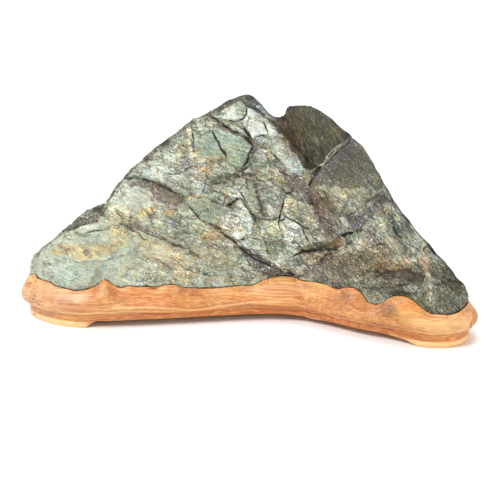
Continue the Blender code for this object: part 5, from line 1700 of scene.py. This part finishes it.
# What was drawn on the wood: the field, its tone and its strength; shade is painted shade and shine
# painted highlights, in the foot's pale tone
woodMarks = [("shade", "dark", 0.75), ("shine", "foot", 0.7), ("smudge", "stain", 0.6), ("open", "line", 0.9)]


def growthRings(tree, bent):
    # how dark the late wood of each ring is
    fromHeart = vectorCalc(tree, "SUBTRACT", bent, [v * mm for v in woodLook["heart"]])
    across = vectorCalc(tree, "LENGTH", vectorCalc(tree, "MULTIPLY", fromHeart, (0.04, 1.0, 1.0)))
    ringPlace = calc(tree, "DIVIDE", across, woodLook["ringWidth"] * mm)
    ring = calc(tree, "FRACT", ringPlace)
    number = {"W": calc(tree, "FLOOR", ringPlace)}
    tone = wire(tree, "ShaderNodeTexWhiteNoise", number, noise_dimensions="1D").outputs["Value"]
    rising = remap(tree, ring, 0.2, 0.9, 0.0, 1.0, "SMOOTHSTEP")
    late = times(tree, rising, remap(tree, ring, 0.92, 1.0, 1.0, 0.0))
    return times(tree, late, remap(tree, tone, 0.0, 1.0, 0.15, 1.0))


def woodFinish():
    finish, tree, shader = newMaterial("standWood")
    look = woodLook
    place = tree.nodes.new("ShaderNodeTexCoord").outputs["Object"]
    upSection = shaderField(tree, "upSection")
    onFoot = shaderField(tree, "onFoot")

    def grain(vector, stretch, scale, *more):
        return noiseNode(tree, vectorCalc(tree, "MULTIPLY", vector, (stretch, 1.0, 1.0)), scale, *more)

    slow = grain(place, 0.3, look["bendScale"])["Color"]
    bent = vectorCalc(tree, "ADD", place, scaled(tree, centred(tree, slow), look["bend"]))
    late = growthRings(tree, bent)
    fibre = grain(bent, 0.03, look["fibreScale"], 4.0, 0.65)[0]
    band = grain(bent, 0.03, look["bandScale"], 3.0, 0.6)[0]
    broad = grain(place, 0.5, look["broadScale"], 4.0, 0.62)[0]
    pores = grain(bent, 0.04, look["poreScale"], 2.0, 0.5)[0]
    elsewhere = vectorCalc(tree, "ADD", place, (0.37, 0.0, 0.0))
    stains = noiseNode(tree, elsewhere, look["stainScale"], 4.0, 0.6)[0]
    start, full, fullTo, end = look["stripRows"]
    strip = times(tree, remap(tree, upSection, start, full), remap(tree, upSection, end, fullTo))
    strip = times(tree, strip, remap(tree, onFoot, 0.0, 1.0, *look["stripStrength"]))
    footFace = times(tree, times(tree, remap(tree, upSection, full, start), onFoot), look["footFace"])

    colour = mixColour(tree, remap(tree, broad, 0.38, 0.62), look["light"], look["gold"])
    for cover, tone in (
            (remap(tree, band, 0.45, 0.68, 0.0, look["band"]), "dark"),
            (strip, "strip"),
            (times(tree, late, look["lateWood"]), "dark"),
            (remap(tree, fibre, 0.52, 0.66, 0.0, look["darkFibre"]), "dark"),
            (remap(tree, fibre, 0.48, 0.36, 0.0, look["lightFibre"]), "light"),
            (footFace, "foot"),
            (remap(tree, pores, 0.62, 0.7, 0.0, look["pores"]), "line"),
            (remap(tree, stains, 0.6, 0.74, 0.0, look["stains"]), "stain")):
        colour = mixColour(tree, cover, colour, look[tone])
    for name, tone, strength in woodMarks:
        cover = times(tree, shaderField(tree, name), remap(tree, fibre, 0.35, 0.6, 0.55, 1.0))
        colour = mixColour(tree, times(tree, cover, strength), colour, look[tone])
    # the painted light and shade of standTones, and their warmth
    lighter = plus(tree, 1.0, shaderField(tree, "light"))
    warmth = shaderField(tree, "warmth")
    colour = tinted(tree, colour, timesPlus(tree, warmth, 0.1, lighter), lighter,
                    timesPlus(tree, warmth, -0.5, lighter))
    # painted contact shadow on the wood's inner rows, where it meets the stone
    inner = remap(tree, upSection, *look["innerShadowRows"], 0.0, look["innerShadow"], "SMOOTHSTEP")
    colour = mixColour(tree, inner, colour, look["line"])
    roughness = remap(tree, fibre, 0.3, 0.7, *look["roughness"])
    parts = look["bumpParts"]
    height = minus(tree, times(tree, fibre, parts["fibre"]), times(tree, late, parts["late"]))
    connect(tree, shader, colour, roughness, height, look["bump"])
    shader.inputs["Coat Weight"].default_value = look["lacquer"]
    shader.inputs["Coat Roughness"].default_value = look["lacquerRoughness"]
    return finish


# Floor, light and camera

studio = {
    "floorSize": 18.0,
    "floor": linear(246, 246, 246),
    "floorRoughness": 0.9,
    "world": 0.7,
    "lights": {  # place, aim, width, power in watts
        "key": ((-0.7, -0.8, 1.25), (0, 0, 0.06), 0.5, 20.0),
        "top": ((0.1, 0.1, 1.4), (0, 0, 0.06), 0.9, 8.0),
        "back": ((0.0, 5.0, 3.0), (0, 4.5, 0.0), 6.0, 330.0),
    },
}


def layFloor():
    mesh = bpy.data.meshes.new("floor")
    half = studio["floorSize"] / 2
    corners = [(-half, -half, 0), (half, -half, 0), (half, half, 0), (-half, half, 0)]
    mesh.from_pydata(corners, [], [(0, 1, 2, 3)])
    floor = newObject("floor", mesh)
    paper, _, shader = newMaterial("floorPaper")
    shader.inputs["Base Color"].default_value = studio["floor"]
    shader.inputs["Roughness"].default_value = studio["floorRoughness"]
    mesh.materials.append(paper)


def lightStudio():
    world = bpy.data.worlds.new("studio")
    world.use_nodes = True
    sky = world.node_tree.nodes["Background"]
    sky.inputs["Color"].default_value = (1, 1, 1, 1)
    sky.inputs["Strength"].default_value = studio["world"]
    bpy.context.scene.world = world
    for name, (place, aim, width, power) in studio["lights"].items():
        lamp = bpy.data.lights.new(name, "AREA")
        lamp.shape = "DISK"
        lamp.size = width
        lamp.energy = power
        obj = newObject(name, lamp)
        obj.location = place
        obj.rotation_euler = (Vector(aim) - Vector(place)).to_track_quat("-Z", "Y").to_euler()


def placeCamera():
    lens = bpy.data.cameras.new("camera")
    lens.lens = photoCamera["lens"]
    lens.sensor_width = photoCamera["sensor"]
    camera = newObject("camera", lens)
    camera.location = cameraPlace() * mm
    camera.rotation_euler = Vector(cameraAxes()[2]).to_track_quat("Z", "Y").to_euler()
    bpy.context.scene.camera = camera
    bpy.context.scene.view_settings.view_transform = "Standard"


def buildStone():
    base = stoneBase()
    carveStone(base)
    print("stone carved:", len(base.data.vertices), "points")
    values = {"Chip Size": stone["chipSize"], "Chip Tilt": stone["chipTilt"],
              "Small Chip Size": stone["smallChipSize"], "Small Chip Tilt": stone["smallChipTilt"],
              "Lump Height": stone["lumpHeight"], "Grain Height": stone["grainHeight"],
              "Seam Width": stone["seamWidth"], "Seed": float(stone["seed"]), "Stone Finish": stoneFinish()}
    rough = applyTree(base, reliefTree(), values, "stoneRough")
    discard(base)
    return thinned(rough, stone["mostTriangles"], "mountainStone")


def buildStand(stonePiece):
    path = standPath()
    section, rows = standSection()
    values = {"Path": path, "Section": section, "Stone": stonePiece, "Stations": stand["stations"],
              "Rows": rows, "Belly Height": stand["bellyZ"], "Rim Height": stand["rimZ"],
              "Gap": stand["gap"], "Reach": stand["reach"], "Least In": stand["leastIn"],
              "Wood Finish": woodFinish()}
    carrier = newObject("standCarrier", bpy.data.meshes.new("standCarrier"))
    piece = applyTree(carrier, standTree(), values, "carvedStand")
    discard(carrier, path, section)
    closeStand(piece.data)
    paintStand(piece.data)
    return piece


layFloor()
lightStudio()
placeCamera()
print("studio ready")
stonePiece = buildStone()
print("stone ready:", len(stonePiece.data.polygons), "faces")
standPiece = buildStand(stonePiece)
print("stand ready:", len(standPiece.data.polygons), "faces")

for piece, node, finish in ((stonePiece, "stone", "green_stone"), (standPiece, "daiza", "stand_wood")):
    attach(piece, "root")
    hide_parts(node)
